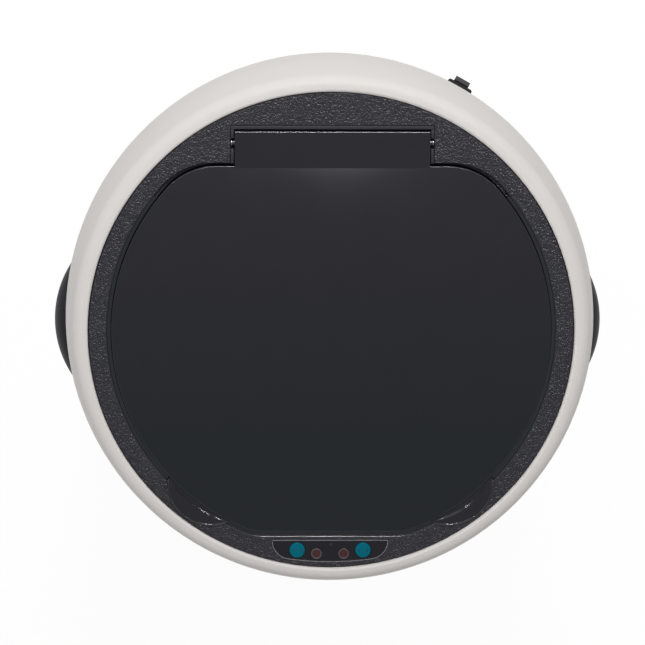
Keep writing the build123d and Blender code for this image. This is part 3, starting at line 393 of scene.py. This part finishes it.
@dataclass
class Studio:
    """Camera, lamps, floor and world."""

    face: FacePlane
    camera_distance: float = 2.0
    left_angle: float = radians(1.48)
    front_angle: float = radians(1.45)
    focal_px: float = 3507.43
    centre_px: tuple[float, float] = (329.5, 316.3)
    picture_px: float = 645.0
    sensor_mm: float = 36.0
    clip_start: float = 0.05
    clip_end: float = 30.0
    wall_level: float = 0.73
    wall_top: float = 0.1
    ceiling_level: float = 0.235
    ceiling_from: float = 0.6
    world_lean: tuple[float, float, float] = (-0.13, -0.26, 0.0)
    floor_half: float = 5.0
    floor_colour: tuple[float, float, float] = (0.86, 0.86, 0.86)
    floor_roughness: float = 0.9
    floor_glow: float = 1.03
    floor_glow_share: float = 0.92

    def aim_camera(self) -> None:
        """Place the camera where the photograph was taken from."""
        centre = Vector((0, 0, self.face.dome_height))
        side, front = -sin(self.left_angle), -sin(self.front_angle)
        out = Vector((side, front, sqrt(1 - side**2 - front**2)))
        look = -out
        right = look.cross(Vector((0, 1, 0))).normalized()
        up = right.cross(look)
        shift = [(p - self.picture_px / 2) / self.focal_px for p in self.centre_px]
        axis = (look - right * shift[0] + up * shift[1]).normalized()
        right = axis.cross(Vector((0, 1, 0))).normalized()
        up = right.cross(axis)
        data = bpy.data.cameras.new("camera")
        data.sensor_width = self.sensor_mm
        data.sensor_fit = "HORIZONTAL"
        data.lens = self.focal_px * self.sensor_mm / self.picture_px
        data.clip_start = self.clip_start
        data.clip_end = self.clip_end
        camera = bpy.data.objects.new("camera", data)
        turn = Matrix((right, up, -axis)).transposed().to_4x4()
        camera.matrix_world = Matrix.Translation(centre + out * self.camera_distance) @ turn
        bpy.context.collection.objects.link(camera)
        bpy.context.scene.camera = camera

    def hang(self, lamp: Lamp) -> None:
        """Hang one lamp so that it points at the head.

        Args:
            lamp: The lamp.
        """
        data = bpy.data.lights.new(lamp.name, "AREA")
        data.shape = "RECTANGLE"
        data.size, data.size_y = lamp.width, lamp.length
        data.energy = lamp.power
        hung = bpy.data.objects.new(lamp.name, data)
        at = Vector(lamp.place)
        aim = Vector((0, 0, self.face.dome_height)) - at
        turn = aim.to_track_quat("-Z", "Y").to_matrix().to_4x4()
        hung.matrix_world = Matrix.Translation(at) @ turn
        bpy.context.collection.objects.link(hung)

    def light(self) -> None:
        """Hang the lamps and set the world, whose walls are brighter than its ceiling."""
        for lamp in LAMPS:
            self.hang(lamp)
        world = bpy.data.worlds.new("studio")
        world.use_nodes = True
        nodes, links = world.node_tree.nodes, world.node_tree.links
        way = nodes.new("ShaderNodeTexCoord").outputs["Generated"]
        split = nodes.new("ShaderNodeSeparateXYZ")
        level = nodes.new("ShaderNodeMapRange")
        level.inputs["From Min"].default_value = self.wall_top
        level.inputs["From Max"].default_value = self.ceiling_from
        level.inputs["To Min"].default_value = self.wall_level
        level.inputs["To Max"].default_value = self.ceiling_level
        lean = nodes.new("ShaderNodeVectorMath")
        lean.operation = "DOT_PRODUCT"
        lean.inputs[1].default_value = self.world_lean
        around = nodes.new("ShaderNodeMath")
        around.operation = "ADD"
        around.inputs[1].default_value = 1.0
        product = nodes.new("ShaderNodeMath")
        product.operation = "MULTIPLY"
        background = nodes["Background"]
        background.inputs["Color"].default_value = WHITE
        links.new(way, split.inputs["Vector"])
        links.new(split.outputs["Z"], level.inputs["Value"])
        links.new(way, lean.inputs[0])
        links.new(lean.outputs["Value"], around.inputs[0])
        links.new(level.outputs["Result"], product.inputs[0])
        links.new(around.outputs["Value"], product.inputs[1])
        links.new(product.outputs["Value"], background.inputs["Strength"])
        bpy.context.scene.world = world
        bpy.context.scene.view_settings.view_transform = "Standard"

    def lay_floor(self) -> None:
        """Lay the pale floor under the pads."""
        mesh = bpy.data.meshes.new("floor")
        shape = bmesh.new()
        bmesh.ops.create_grid(shape, x_segments=1, y_segments=1, size=self.floor_half)
        shape.to_mesh(mesh)
        shape.free()
        floor = bpy.data.objects.new("floor", mesh)
        bpy.context.collection.objects.link(floor)
        bench = NodeBench("floor_white")
        bench.shader.inputs["Base Color"].default_value = (*self.floor_colour, 1)
        bench.shader.inputs["Roughness"].default_value = self.floor_roughness
        ray = bench.add("ShaderNodeLightPath")
        glow = bench.add("ShaderNodeEmission", Color=WHITE, Strength=self.floor_glow)
        seen = bench.compute("MAXIMUM", ray.outputs["Is Camera Ray"], ray.outputs["Is Glossy Ray"])
        seen = bench.compute("MAXIMUM", seen, ray.outputs["Is Transmission Ray"])
        seen = bench.compute("MULTIPLY", seen, self.floor_glow_share)
        mix = bench.add("ShaderNodeMixShader")
        bench.join(seen, mix.inputs["Fac"])
        bench.join(bench.shader.outputs["BSDF"], mix.inputs[1])
        bench.join(glow.outputs["Emission"], mix.inputs[2])
        bench.join(mix.outputs["Shader"], bench.tree.nodes["Material Output"].inputs["Surface"])
        mesh.materials.append(bench.material)


FINISHES = (
    Finish("pearl_plastic", (0.74, 0.715, 0.69), 0.5, specular=0.3, mottle=0.008),
    Finish("pearl_coat", (0.74, 0.715, 0.69), 0.36, metallic=0.1, mottle=0.01, coat=0.2),
    Finish(
        "grained_black",
        (0.0155, 0.0142, 0.0225),
        0.4,
        specular=0.6,
        grain=Grain.PEBBLE,
        grain_scale=1000,
        grain_depth=0.42,
        mottle=0.12,
        mottle_scale=700,
    ),
    LidFinish(
        "lid_black",
        (0.0115, 0.0103, 0.0165),
        0.24,
        specular=0.8,
        mottle=0.01,
        roughness_spread=0.015,
    ),
    Finish("black_plastic", (0.017, 0.0165, 0.0205), 0.5, specular=0.35, grain=Grain.FINE),
    Finish("black_rubber", (0.02, 0.02, 0.02), 0.8, grain=Grain.FINE, grain_depth=0.04),
    Finish("bright_steel", (0.62, 0.62, 0.63), 0.25, metallic=1.0),
    Finish("zinc_steel", (0.55, 0.55, 0.56), 0.4, metallic=1.0, mottle=0.1),
    Finish("white_nylon", (0.75, 0.74, 0.7), 0.5),
    Finish("grey_plastic", (0.25, 0.25, 0.26), 0.5, grain=Grain.FINE),
    Finish("board_green", (0.02, 0.12, 0.05), 0.4, mottle=0.15, mottle_scale=300),
    Finish("cell_wrap", (0.2, 0.21, 0.23), 0.3),
    Finish("panel_black", (0.012, 0.0115, 0.0165), 0.2, mottle=0.02),
    Finish("window_red", (0.068, 0.019, 0.022), 0.2),
    Finish("clear_resin", (0.03, 0.03, 0.034), 0.25),
    Finish("dark_resin", (0.03, 0.02, 0.03), 0.2),
    Finish("teal_plastic", (0.0, 0.135, 0.195), 0.35, specular=0.12, mottle=0.02),
    Finish("cable_black", (0.02, 0.02, 0.02), 0.6, grain=Grain.FINE),
    Finish("switch_black", (0.008, 0.0076, 0.01), 0.45, specular=0.2, grain=Grain.FINE),
    Finish("dish_black", (0.0115, 0.0105, 0.0165), 0.12, specular=0.8, mottle=0.02),
    Finish("rim_black", (0.009, 0.0105, 0.0155), 0.22, specular=0.9, mottle=0.02, coat=0.3),
    Finish("trough_black", (0.034, 0.0325, 0.042), 0.5, mottle=0.03),
    Finish("pin_steel", (0.16, 0.16, 0.165), 0.3, metallic=1.0, mottle=0.03),
    # Painted highlight: light grey for the bead that stands in for the bright line round the
    # control panel.
    Finish("painted_highlight_grey", (0.4, 0.4, 0.42), 0.35, mottle=0.03),
    Finish("ring_grey", (0.09, 0.08, 0.085), 0.35, mottle=0.03),
    Finish("mark_dark", (0.004, 0.02, 0.03), 0.4, mottle=0.03),
)

# Nodes that wear another finish than the one of their slot.
FINISH_BY_NODE = {"hinge_shaft": "pin_steel", "hinge_bushes": "trough_black"}


class Moulder:
    """Dresses carried-over nodes and turns shapes into placed pieces."""

    def __init__(self, frame: dict) -> None:
        """Build the finishes.
        """
        self.frame = frame
        self.materials = {finish.name: finish.build() for finish in FINISHES}

    def dress_nodes(self) -> None:
        """Give every carried-over node its finish."""
        slots = {p["node"]: p["material_slot"] for p in self.frame["record"]["subparts"]}
        for name, node in self.frame["nodes"].items():
            node.data.materials.clear()
            finish = FINISH_BY_NODE.get(name, slots[name])
            node.data.materials.append(self.materials[finish])
            LOG.info("dressed %s with %s", name, finish)

    def place(
        self,
        shape: bmesh.types.BMesh,
        name: str,
        finish: str,
        slot: str,
        body: str,
        matrix: Matrix | None = None,
    ) -> None:
        """Turn a shape into a piece that rides on a body.

        Args:
            shape: The shape, which is freed.
            name: The piece's name.
            finish: The finish that it wears.
            slot: The record's slot that it belongs to; not used.
            body: The body that it rides on.
            matrix: The transform into the frame, where the shape isn't there yet.
        """
        if matrix is not None:
            shape.transform(matrix)
        bmesh.ops.remove_doubles(shape, verts=shape.verts, dist=MERGE_REACH)
        bmesh.ops.recalc_face_normals(shape, faces=shape.faces)
        for edge in shape.edges:
            edge.smooth = edge.calc_face_angle(0.0) < SMOOTH_ANGLE
        mesh = bpy.data.meshes.new(name)
        shape.to_mesh(mesh)
        shape.free()
        for polygon in mesh.polygons:
            polygon.use_smooth = True
        mesh.materials.append(self.materials[finish])
        piece = bpy.data.objects.new(name, mesh)
        bpy.context.collection.objects.link(piece)
        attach(piece, body)
        LOG.info("made %s on %s", name, body)


def turned(
    profile: list[tuple[float, float]], steps: int, closed: bool = False
) -> bmesh.types.BMesh:
    """Spin a profile round the local Z axis.

    Args:
        profile: Points as radius and height, in metres.
        steps: How many steps the full turn has.
        closed: Whether the last point joins the first.

    Returns:
        The turned shape.
    """
    shape = bmesh.new()
    points = [shape.verts.new((radius, 0, height)) for radius, height in profile]
    edges = [shape.edges.new(pair) for pair in zip(points, points[1:])]
    if closed:
        edges.append(shape.edges.new((points[-1], points[0])))
    bmesh.ops.spin(
        shape,
        geom=points + edges,
        cent=(0, 0, 0),
        axis=(0, 0, 1),
        angle=FULL_TURN,
        steps=steps,
        use_merge=True,
    )
    bmesh.ops.remove_doubles(shape, verts=shape.verts, dist=MERGE_REACH)
    return shape


def round_edges(shape: bmesh.types.BMesh, offset: float, segments: int) -> None:
    """Round every edge of a shape.

    Args:
        shape: The shape.
        offset: How far the rounding reaches from each edge.
        segments: How many steps it has.
    """
    bmesh.ops.bevel(
        shape,
        geom=shape.edges[:],
        offset=offset,
        offset_type="OFFSET",
        segments=segments,
        profile=0.5,
        affect="EDGES",
        material=-1,
    )


def closed_loop(
    shape: bmesh.types.BMesh, points: list[Vector | tuple[float, float, float]]
) -> list[bmesh.types.BMEdge]:
    """Lay a closed loop of edges.

    Args:
        shape: The shape that it goes into.
        points: The points, in order.

    Returns:
        The loop's edges.
    """
    verts = [shape.verts.new(point) for point in points]
    return [shape.edges.new(pair) for pair in zip(verts, verts[1:] + verts[:1])]


def round_bar(
    radius: float, centre: float, height: float, count: int = 12
) -> list[tuple[float, float]]:
    """Profile of a round ring.

    Args:
        radius: The bar's radius.
        centre: The ring's mean radius.
        height: The ring's height.
        count: How many points the profile has.

    Returns:
        The profile's points.
    """
    angles = [FULL_TURN * i / count for i in range(count)]
    return [(centre + radius * cos(a), height + radius * sin(a)) for a in angles]


@dataclass
class ControlPanel:
    """The lens-shaped panel at the front: its bead, painted light grey as a painted highlight,
    window rings and marked button caps.
    """

    moulder: Moulder
    face: FacePlane
    panel_rear: float = -120.5 * MM
    panel_half: float = 32.7 * MM
    arc_radius: float = 165.0 * MM
    front_reach: float = 133.0 * MM
    rear_corner: float = 0.8 * MM
    front_corner: float = 10.6 * MM
    lens_top: float = -1.5 * MM
    bead_width: float = 0.5 * MM
    bead_rise: float = 0.3 * MM
    bead_sink: float = 0.2 * MM
    bead_edge_share: float = 0.3
    button_u: float = 18.6 * MM
    button_v: float = -126.15 * MM
    button_radius: float = 4.35 * MM
    button_top: float = -0.9 * MM
    cap_rise: float = 0.45 * MM
    cap_sink: float = 0.3 * MM
    cap_edge: float = 0.5 * MM
    crown_share: float = 0.6
    crown_rises: tuple[float, float] = (0.08 * MM, 0.12 * MM)
    mark_rise: float = 0.09 * MM
    mark_thickness: float = 0.1 * MM
    arrow_at: float = 1.9 * MM
    arrow_radius: float = 1.15 * MM
    bar_size: tuple[float, float] = (0.35 * MM, 2.2 * MM)
    window_u: float = 7.7 * MM
    window_v: float = -128.25 * MM
    window_radius: float = 3.1 * MM
    window_top: float = -1.2 * MM
    ring_radius: float = 0.38 * MM
    ring_rise: float = 0.05 * MM
    least_corner: float = 0.2 * MM
    arc_steps: int = 20
    corner_steps: int = 8
    edge_steps: int = 6
    round_steps: tuple[int, int] = (48, 64)

    def outline(self, inset: float, height: float) -> list[tuple[float, float, float]]:
        """Points round the panel: a straight rear edge, two wide corners and a shallow front arc.

        Args:
            inset: How far the outline is drawn in.
            height: The points' height, w.

        Returns:
            The points, in order.
        """
        corner, rear = self.front_corner - inset, max(self.rear_corner - inset, self.least_corner)
        side, arc = self.panel_half - inset, self.arc_radius - inset
        middle = self.arc_radius - self.front_reach
        corner_u = self.panel_half - self.front_corner
        corner_v = middle - sqrt((self.arc_radius - self.front_corner) ** 2 - corner_u**2)
        lean = atan2(corner_u, middle - corner_v)
        right = []
        for step in range(1, self.arc_steps + 1):
            turn = lean * step / self.arc_steps
            right.append((arc * sin(turn), middle - arc * cos(turn)))
        for step in range(1, self.arc_steps + 1):
            turn = lean + (QUARTER_TURN - lean) * step / self.arc_steps
            right.append((corner_u + corner * sin(turn), corner_v - corner * cos(turn)))
        top = self.panel_rear - inset
        for step in range(self.corner_steps + 1):
            turn = QUARTER_TURN * step / self.corner_steps
            right.append((side - rear * (1 - cos(turn)), top - rear * (1 - sin(turn))))
        left = [(-u, v) for u, v in reversed(right)]
        ring = left + [(0.0, middle - arc)] + right
        return [(u, v, height) for u, v in ring]

    def make_highlight_bead(self) -> None:
        """Make the thin raised line round the panel: its outer wall, flat top and inner wall,
        painted light grey as a painted highlight along the panel's edge.
        """
        shape = bmesh.new()
        low, high = self.lens_top - self.bead_sink, self.lens_top + self.bead_rise
        edge = self.bead_edge_share * self.bead_width
        stages = (
            (0.0, low),
            (0.0, high - edge),
            (edge, high),
            (self.bead_width - edge, high),
            (self.bead_width, high - edge),
            (self.bead_width, low),
        )
        loops = [
            closed_loop(shape, self.outline(inset - self.bead_width / 2, height))
            for inset, height in stages
        ]
        for first, second in zip(loops[::2], loops[1::2]):
            bmesh.ops.bridge_loops(shape, edges=first + second)
        self.moulder.place(
            shape, "panel_highlight_bead", "painted_highlight_grey", "panel_black", "head", self.face.matrix()
        )

    def make_window_ring(self, name: str, side: int) -> None:
        """Make the ring round one infrared window.

        Args:
            name: The ring's name.
            side: -1 for the left window, 1 for the right one.
        """
        middle = self.window_radius - self.ring_radius
        profile = round_bar(self.ring_radius, middle, self.window_top + self.ring_rise)
        shape = turned(profile, self.round_steps[0], closed=True)
        at = Matrix.Translation((side * self.window_u, self.window_v, 0))
        self.moulder.place(
            shape, name, "ring_grey", "window_red", "head", self.face.matrix() @ at
        )

    def make_button_cap(self, name: str, side: int, body: str) -> None:
        """Make the crowned cap of one button.

        Args:
            name: The cap's name.
            side: -1 for the left button, 1 for the right one.
            body: The body that it moves with.
        """
        low, high = self.button_top - self.cap_sink, self.button_top + self.cap_rise
        radius, edge = self.button_radius, self.cap_edge
        shoulder, top = self.crown_rises
        profile = [(radius, low), (radius, high - edge)]
        for step in range(1, self.edge_steps):
            angle = QUARTER_TURN * step / self.edge_steps
            profile.append((radius - edge * (1 - cos(angle)), high - edge * (1 - sin(angle))))
        profile.append((radius - edge, high))
        profile.append((radius * self.crown_share, high + shoulder))
        profile.append((0, high + top))
        shape = turned(profile, self.round_steps[1])
        at = Matrix.Translation((side * self.button_u, self.button_v, 0))
        self.moulder.place(
            shape, name, "teal_plastic", "teal_plastic", body, self.face.matrix() @ at
        )

    def make_mark(self, name: str, side: int, opening: bool, body: str) -> None:
        """Make the arrow mark on one button: a bar between two arrowheads.

        Args:
            name: The mark's name.
            side: -1 for the left button, 1 for the right one.
            opening: Whether the arrowheads point outwards.
            body: The body that it moves with.
        """
        shape = bmesh.new()
        high = self.button_top + self.cap_rise + self.mark_rise
        for arrow in (-1, 1):
            way = arrow if opening else -arrow
            turn = Matrix.Rotation(0 if way > 0 else pi, 4, "Z")
            at = Matrix.Translation((arrow * self.arrow_at, 0, high)) @ turn
            bmesh.ops.create_circle(
                shape, cap_ends=True, segments=3, radius=self.arrow_radius, matrix=at
            )
        bar = Matrix.Translation((0, 0, high)) @ Matrix.Diagonal((*self.bar_size, 1, 1))
        bmesh.ops.create_grid(shape, x_segments=1, y_segments=1, size=0.5, matrix=bar)
        bmesh.ops.solidify(shape, geom=shape.faces, thickness=self.mark_thickness)
        at = Matrix.Translation((side * self.button_u, self.button_v, 0))
        self.moulder.place(
            shape, name, "mark_dark", "teal_plastic", body, self.face.matrix() @ at
        )

    def build(self) -> None:
        """Make the panel's pieces."""
        self.make_highlight_bead()
        self.make_window_ring("emitter_ring", -1)
        self.make_window_ring("receiver_ring", 1)
        self.make_button_cap("open_cap", -1, "open_button")
        self.make_button_cap("close_cap", 1, "close_button")
        self.make_mark("open_mark", -1, True, "open_button")
        self.make_mark("close_mark", 1, False, "close_button")


@dataclass
class FingerScallops:
    """Two shallow finger dishes at the lid's front corners, with a lip that rolls to the lid."""

    moulder: Moulder
    face: FacePlane
    centre_reach: float = 110.0 * MM
    centre_angle: float = radians(52.42)
    radius: float = 24.1 * MM
    lid_edge: float = 123.15 * MM
    rim_height: float = -0.8 * MM
    dish_drop: float = 0.5 * MM
    rim_kick: float = 0.6 * MM
    kick_share: float = 0.95
    full_width: float = 7.0 * MM
    lip_reach: tuple[float, float] = (126.6 * MM, 129.4 * MM)
    lip_radius: float = 1.0 * MM
    lip_turn: float = 0.72
    lip_limit: float = 0.4
    least_reach: float = 1e-6
    merge_reach: float = 1e-5
    thickness: float = 0.5 * MM
    steps: tuple[int, int] = (96, 60)

    def rim(self, turn: float) -> float:
        """How far the dish's rim lies from the face's middle.

        Args:
            turn: The angle from the dish's own direction.

        Returns:
            The distance in metres.
        """
        aside = self.centre_reach * sin(turn)
        return self.centre_reach * cos(turn) + sqrt(max(self.radius**2 - aside**2, 0))

    def height(self, out: float, rim: float, lip: float) -> float:
        """How high the dish lies at one place.

        Args:
            out: The place's distance from the face's middle.
            rim: The rim's distance, in the same direction.
            lip: Where the lip begins to roll down to the lid, in the same direction.

        Returns:
            The height, w.
        """
        share = min((rim - self.lid_edge) / self.full_width, 1.0)
        drop = self.dish_drop * share
        floor = self.rim_height - drop
        if out >= lip:
            part = (out - lip) / max(rim - lip, self.least_reach)
            kick = max(out - rim + self.rim_kick, 0.0) * self.kick_share
            rise = self.rim_kick - sqrt(self.rim_kick**2 - kick**2)
            return floor + drop * part**2 + rise * share
        bend = max(self.lip_radius * share, self.least_reach)
        turn_at = self.lip_turn * bend * share
        into = lip - out
        if into <= turn_at:
            return floor - bend + sqrt(bend**2 - into**2)
        back = max(2 * turn_at - into, 0.0)
        fall = bend - sqrt(bend**2 - turn_at**2)
        return floor - 2 * fall + bend - sqrt(bend**2 - back**2)

    def make_dish(self, name: str, side: int) -> None:
        """Make one dish.

        Args:
            name: The dish's name.
            side: -1 for the left dish, 1 for the right one.
        """
        reach, edge, radius = self.centre_reach, self.lid_edge, self.radius
        half = (reach**2 + edge**2 - radius**2) / (2 * reach * edge)
        span = atan2(sqrt(max(1 - half**2, 0)), half)
        full_lip = self.lip_reach[0 if side < 0 else 1]
        middle = -QUARTER_TURN + side * (QUARTER_TURN - self.centre_angle)
        across, along = self.steps
        shape = bmesh.new()
        bmesh.ops.create_grid(shape, x_segments=across, y_segments=along, size=1.0)
        for vert in shape.verts:
            turn, part = vert.co.x * span, vert.co.y
            rim = max(self.rim(turn), edge)
            lip = min(full_lip, edge + self.lip_limit * (rim - edge))
            out = lip + part * ((rim - lip) if part > 0 else (lip - edge))
            angle = middle + turn
            vert.co = (out * cos(angle), out * sin(angle), self.height(out, rim, lip))
        bmesh.ops.remove_doubles(shape, verts=shape.verts, dist=self.merge_reach)
        bmesh.ops.recalc_face_normals(shape, faces=shape.faces)
        if sum(f.normal.z for f in shape.faces) < 0:
            bmesh.ops.reverse_faces(shape, faces=shape.faces)
        bmesh.ops.solidify(shape, geom=shape.faces, thickness=self.thickness)
        self.moulder.place(shape, name, "dish_black", "lid_black", "head", self.face.matrix())

    def build(self) -> None:
        """Make both dishes."""
        self.make_dish("scallop_dish_left", -1)
        self.make_dish("scallop_dish_right", 1)


@dataclass
class HingeTrim:
    """The linings of the hinge trough and the washers on the hinge shaft.

    The profiles are v and w in metres. They keep clear of the turning hinge block.
    """

    moulder: Moulder
    face: FacePlane
    hinge_v: float = 106.4 * MM
    hinge_w: float = -6.0 * MM
    trough_half: float = 56.1 * MM
    cheek_at: float = 54.5 * MM
    edge_rounding: float = 0.2 * MM
    washer_at: float = 55.75 * MM
    washer_bore: float = 2.02 * MM
    washer_radius: float = 2.6 * MM
    washer_half: float = 0.3 * MM
    washer_edge: float = 0.12 * MM
    washer_steps: int = 48
    sill: tuple[tuple[float, float], ...] = (
        (116.4 * MM, -1.45 * MM),
        (114.4 * MM, -1.5 * MM),
        (114.9 * MM, -2.6 * MM),
        (115.6 * MM, -6.0 * MM),
        (115.6 * MM, -9.0 * MM),
        (116.4 * MM, -9.0 * MM),
    )
    cheek: tuple[tuple[float, float], ...] = (
        (95.2 * MM, -1.7 * MM),
        (103.5 * MM, -1.7 * MM),
        (103.5 * MM, -8.9 * MM),
        (109.3 * MM, -8.9 * MM),
        (109.3 * MM, -1.7 * MM),
        (114.3 * MM, -1.7 * MM),
        (114.3 * MM, -10.0 * MM),
        (95.2 * MM, -10.0 * MM),
    )

    def make_lining(
        self, name: str, profile: tuple[tuple[float, float], ...], start: float, end: float
    ) -> None:
        """Push a profile sideways and round its edges.

        Args:
            name: The lining's name.
            profile: Its outline as v and w.
            start: The u that it starts from.
            end: The u that it ends at.
        """
        shape = bmesh.new()
        face = shape.faces.new([shape.verts.new((start, v, w)) for v, w in profile])
        pushed = bmesh.ops.extrude_face_region(shape, geom=[face])
        moved = [g for g in pushed["geom"] if isinstance(g, bmesh.types.BMVert)]
        bmesh.ops.translate(shape, verts=moved, vec=(end - start, 0, 0))
        bmesh.ops.recalc_face_normals(shape, faces=shape.faces)
        round_edges(shape, self.edge_rounding, 2)
        self.moulder.place(
            shape, name, "trough_black", "grained_black", "head", self.face.matrix()
        )

    def make_washer(self, name: str, side: int) -> None:
        """Make one washer on the hinge shaft.

        Args:
            name: The washer's name.
            side: -1 for the left end, 1 for the right one.
        """
        half, edge = self.washer_half, self.washer_edge
        inner, outer = self.washer_bore, self.washer_radius
        profile = [
            (inner, -half),
            (outer - edge, -half),
            (outer, -half + edge),
            (outer, half - edge),
            (outer - edge, half),
            (inner, half),
        ]
        shape = turned(profile, self.washer_steps, closed=True)
        turn = Matrix.Rotation(QUARTER_TURN, 4, "Y")
        at = Matrix.Translation((side * self.washer_at, self.hinge_v, self.hinge_w))
        self.moulder.place(
            shape, name, "bright_steel", "bright_steel", "lid", self.face.matrix() @ at @ turn
        )

    def build(self) -> None:
        """Make the sill behind the block, the notched cheeks beside it and the washers."""
        half, cheek_at = self.trough_half, self.cheek_at
        self.make_lining("trough_sill", self.sill, -half, half)
        self.make_lining("trough_cheek_left", self.cheek, -half, -cheek_at)
        self.make_lining("trough_cheek_right", self.cheek, cheek_at, half)
        self.make_washer("hinge_washer_left", -1)
        self.make_washer("hinge_washer_right", 1)


@dataclass
class RimTrim:
    """Ledges in the gap beside the lid, each with a fine rolled bead along its outer edge."""

    moulder: Moulder
    face: FacePlane
    radius: float = 122.8 * MM
    corner: float = 25.0 * MM
    corner_at: tuple[float, float] = (38.04 * MM, -90.1 * MM)
    side_gap: float = 2.5 * MM
    front_gap: float = 3.0 * MM
    near: float = 0.35 * MM
    floor: float = -2.3 * MM
    under: float = -3.2 * MM
    bead: float = 0.6 * MM
    bead_past: float = 0.45 * MM
    bead_height: float = -2.0 * MM
    bead_steps: int = 10
    front_span: float = radians(28.4)
    side_start: float = radians(47.4)
    side_end: float = radians(128)
    front_steps: int = 121
    side_steps: int = 160

    def station(self, turn: float) -> tuple[Vector, Vector, float]:
        """Find a place on the lid's outline.

        Args:
            turn: The way it faces, as an angle from straight ahead.

        Returns:
            The place, the way outward and the gap's width there.
        """
        out = Vector((sin(turn), -cos(turn), 0))
        lean = atan2(self.corner_at[0], -self.corner_at[1])
        share = min(abs(turn) / lean, 1.0)
        gap = self.front_gap + (self.side_gap - self.front_gap) * share
        if abs(turn) >= lean:
            return out * self.radius, out, gap
        side = 1 if turn > 0 else -1
        centre = Vector((side * self.corner_at[0], self.corner_at[1], 0))
        return centre + out * self.corner, out, gap

    def section(self, gap: float) -> list[tuple[float, float]]:
        """List the ledge's outline as reach and height, bead included.

        Args:
            gap: The gap's width.

        Returns:
            The points, in order.
        """
        middle = gap + self.bead_past
        points = [(self.near, self.under), (self.near, self.floor)]
        for step in range(self.bead_steps + 1):
            turn = pi - pi * step / self.bead_steps
            height = self.bead_height + self.bead * sin(turn)
            points.append((middle + self.bead * cos(turn), height))
        points.append((middle + self.bead, self.under))
        return points

    def make_ledge(self, name: str, start: float, end: float, count: int) -> None:
        """Sweep one ledge along the lid's outline.

        Args:
            name: The ledge's name.
            start: The way it faces at its first end.
            end: The way it faces at its other end.
            count: How many steps it takes.
        """
        shape = bmesh.new()
        loops = []
        for step in range(count + 1):
            turn = start + (end - start) * step / count
            place, out, gap = self.station(turn)
            points = [
                place + out * reach + Vector((0, 0, height)) for reach, height in self.section(gap)
            ]
            loops.append(closed_loop(shape, points))
        for first, second in zip(loops, loops[1:]):
            bmesh.ops.bridge_loops(shape, edges=first + second)
        for end_loop in (loops[0], loops[-1]):
            bmesh.ops.contextual_create(shape, geom=end_loop)
        bmesh.ops.recalc_face_normals(shape, faces=shape.faces)
        self.moulder.place(shape, name, "rim_black", "lid_black", "head", self.face.matrix())

    def build(self) -> None:
        """Make the front ledge and the two at the sides."""
        front, start, end, count = self.front_span, self.side_start, self.side_end, self.side_steps
        self.make_ledge("rim_ledge_front", -front, front, self.front_steps)
        self.make_ledge("rim_ledge_left", -end, -start, count)
        self.make_ledge("rim_ledge_right", start, end, count)


@dataclass
class DrumTrim:
    """Rolled edges and beads of the drum and head, and the drum's seam."""

    moulder: Moulder
    skirt_bottom: float = 536.0 * MM
    skirt_reach: float = 148.58 * MM
    skirt_bar: float = 1.45 * MM
    bead_reach: float = 146.5 * MM
    bead_bar: float = 1.3 * MM
    bead_low: float = 34.0 * MM
    bead_high: float = 470.0 * MM
    round_steps: int = 192
    drum_low: float = 21.0 * MM
    drum_high: float = 530.0 * MM
    seam_reach: float = 147.05 * MM
    seam_width: float = 7.0 * MM
    seam_depth: float = 0.9 * MM
    seam_rounding: float = 0.35 * MM

    def make_ring(
        self, name: str, bar: float, reach: float, height: float, finish: str, body: str
    ) -> None:
        """Make one rolled ring.

        Args:
            name: The ring's name.
            bar: The rolled bar's radius.
            reach: The ring's mean radius.
            height: Its height above the floor.
            finish: The finish that it wears.
            body: The body that it rides on.
        """
        shape = turned(round_bar(bar, reach, height), self.round_steps, closed=True)
        self.moulder.place(shape, name, finish, finish, body)

    def make_seam(self) -> None:
        """Make the folded seam down the rear of the drum."""
        shape = bmesh.new()
        middle = (self.drum_low + self.drum_high) / 2
        size = Matrix.Diagonal(
            (self.seam_width, self.seam_depth, self.drum_high - self.drum_low, 1)
        )
        at = Matrix.Translation((0, self.seam_reach, middle))
        bmesh.ops.create_cube(shape, size=1.0, matrix=at @ size)
        round_edges(shape, self.seam_rounding, 3)
        self.moulder.place(shape, "drum_seam", "pearl_coat", "pearl_coat", "drum")

    def build(self) -> None:
        """Make the trim."""
        bar, reach = self.bead_bar, self.bead_reach
        skirt = (self.skirt_bar, self.skirt_reach, self.skirt_bottom)
        self.make_ring("skirt_bead", *skirt, "pearl_plastic", "head")
        self.make_ring("drum_bead_low", bar, reach, self.bead_low, "pearl_coat", "drum")
        self.make_ring("drum_bead_high", bar, reach, self.bead_high, "pearl_coat", "drum")
        self.make_seam()


def main() -> None:
    """Build the looks around the frame."""
    logging.basicConfig(level=logging.INFO)
    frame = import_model()
    face = FacePlane()
    studio = Studio(face)
    studio.aim_camera()
    studio.light()
    studio.lay_floor()
    moulder = Moulder(frame)
    moulder.dress_nodes()
    ControlPanel(moulder, face).build()
    FingerScallops(moulder, face).build()
    HingeTrim(moulder, face).build()
    RimTrim(moulder, face).build()
    DrumTrim(moulder).build()


if __name__ == "__main__":
    main()
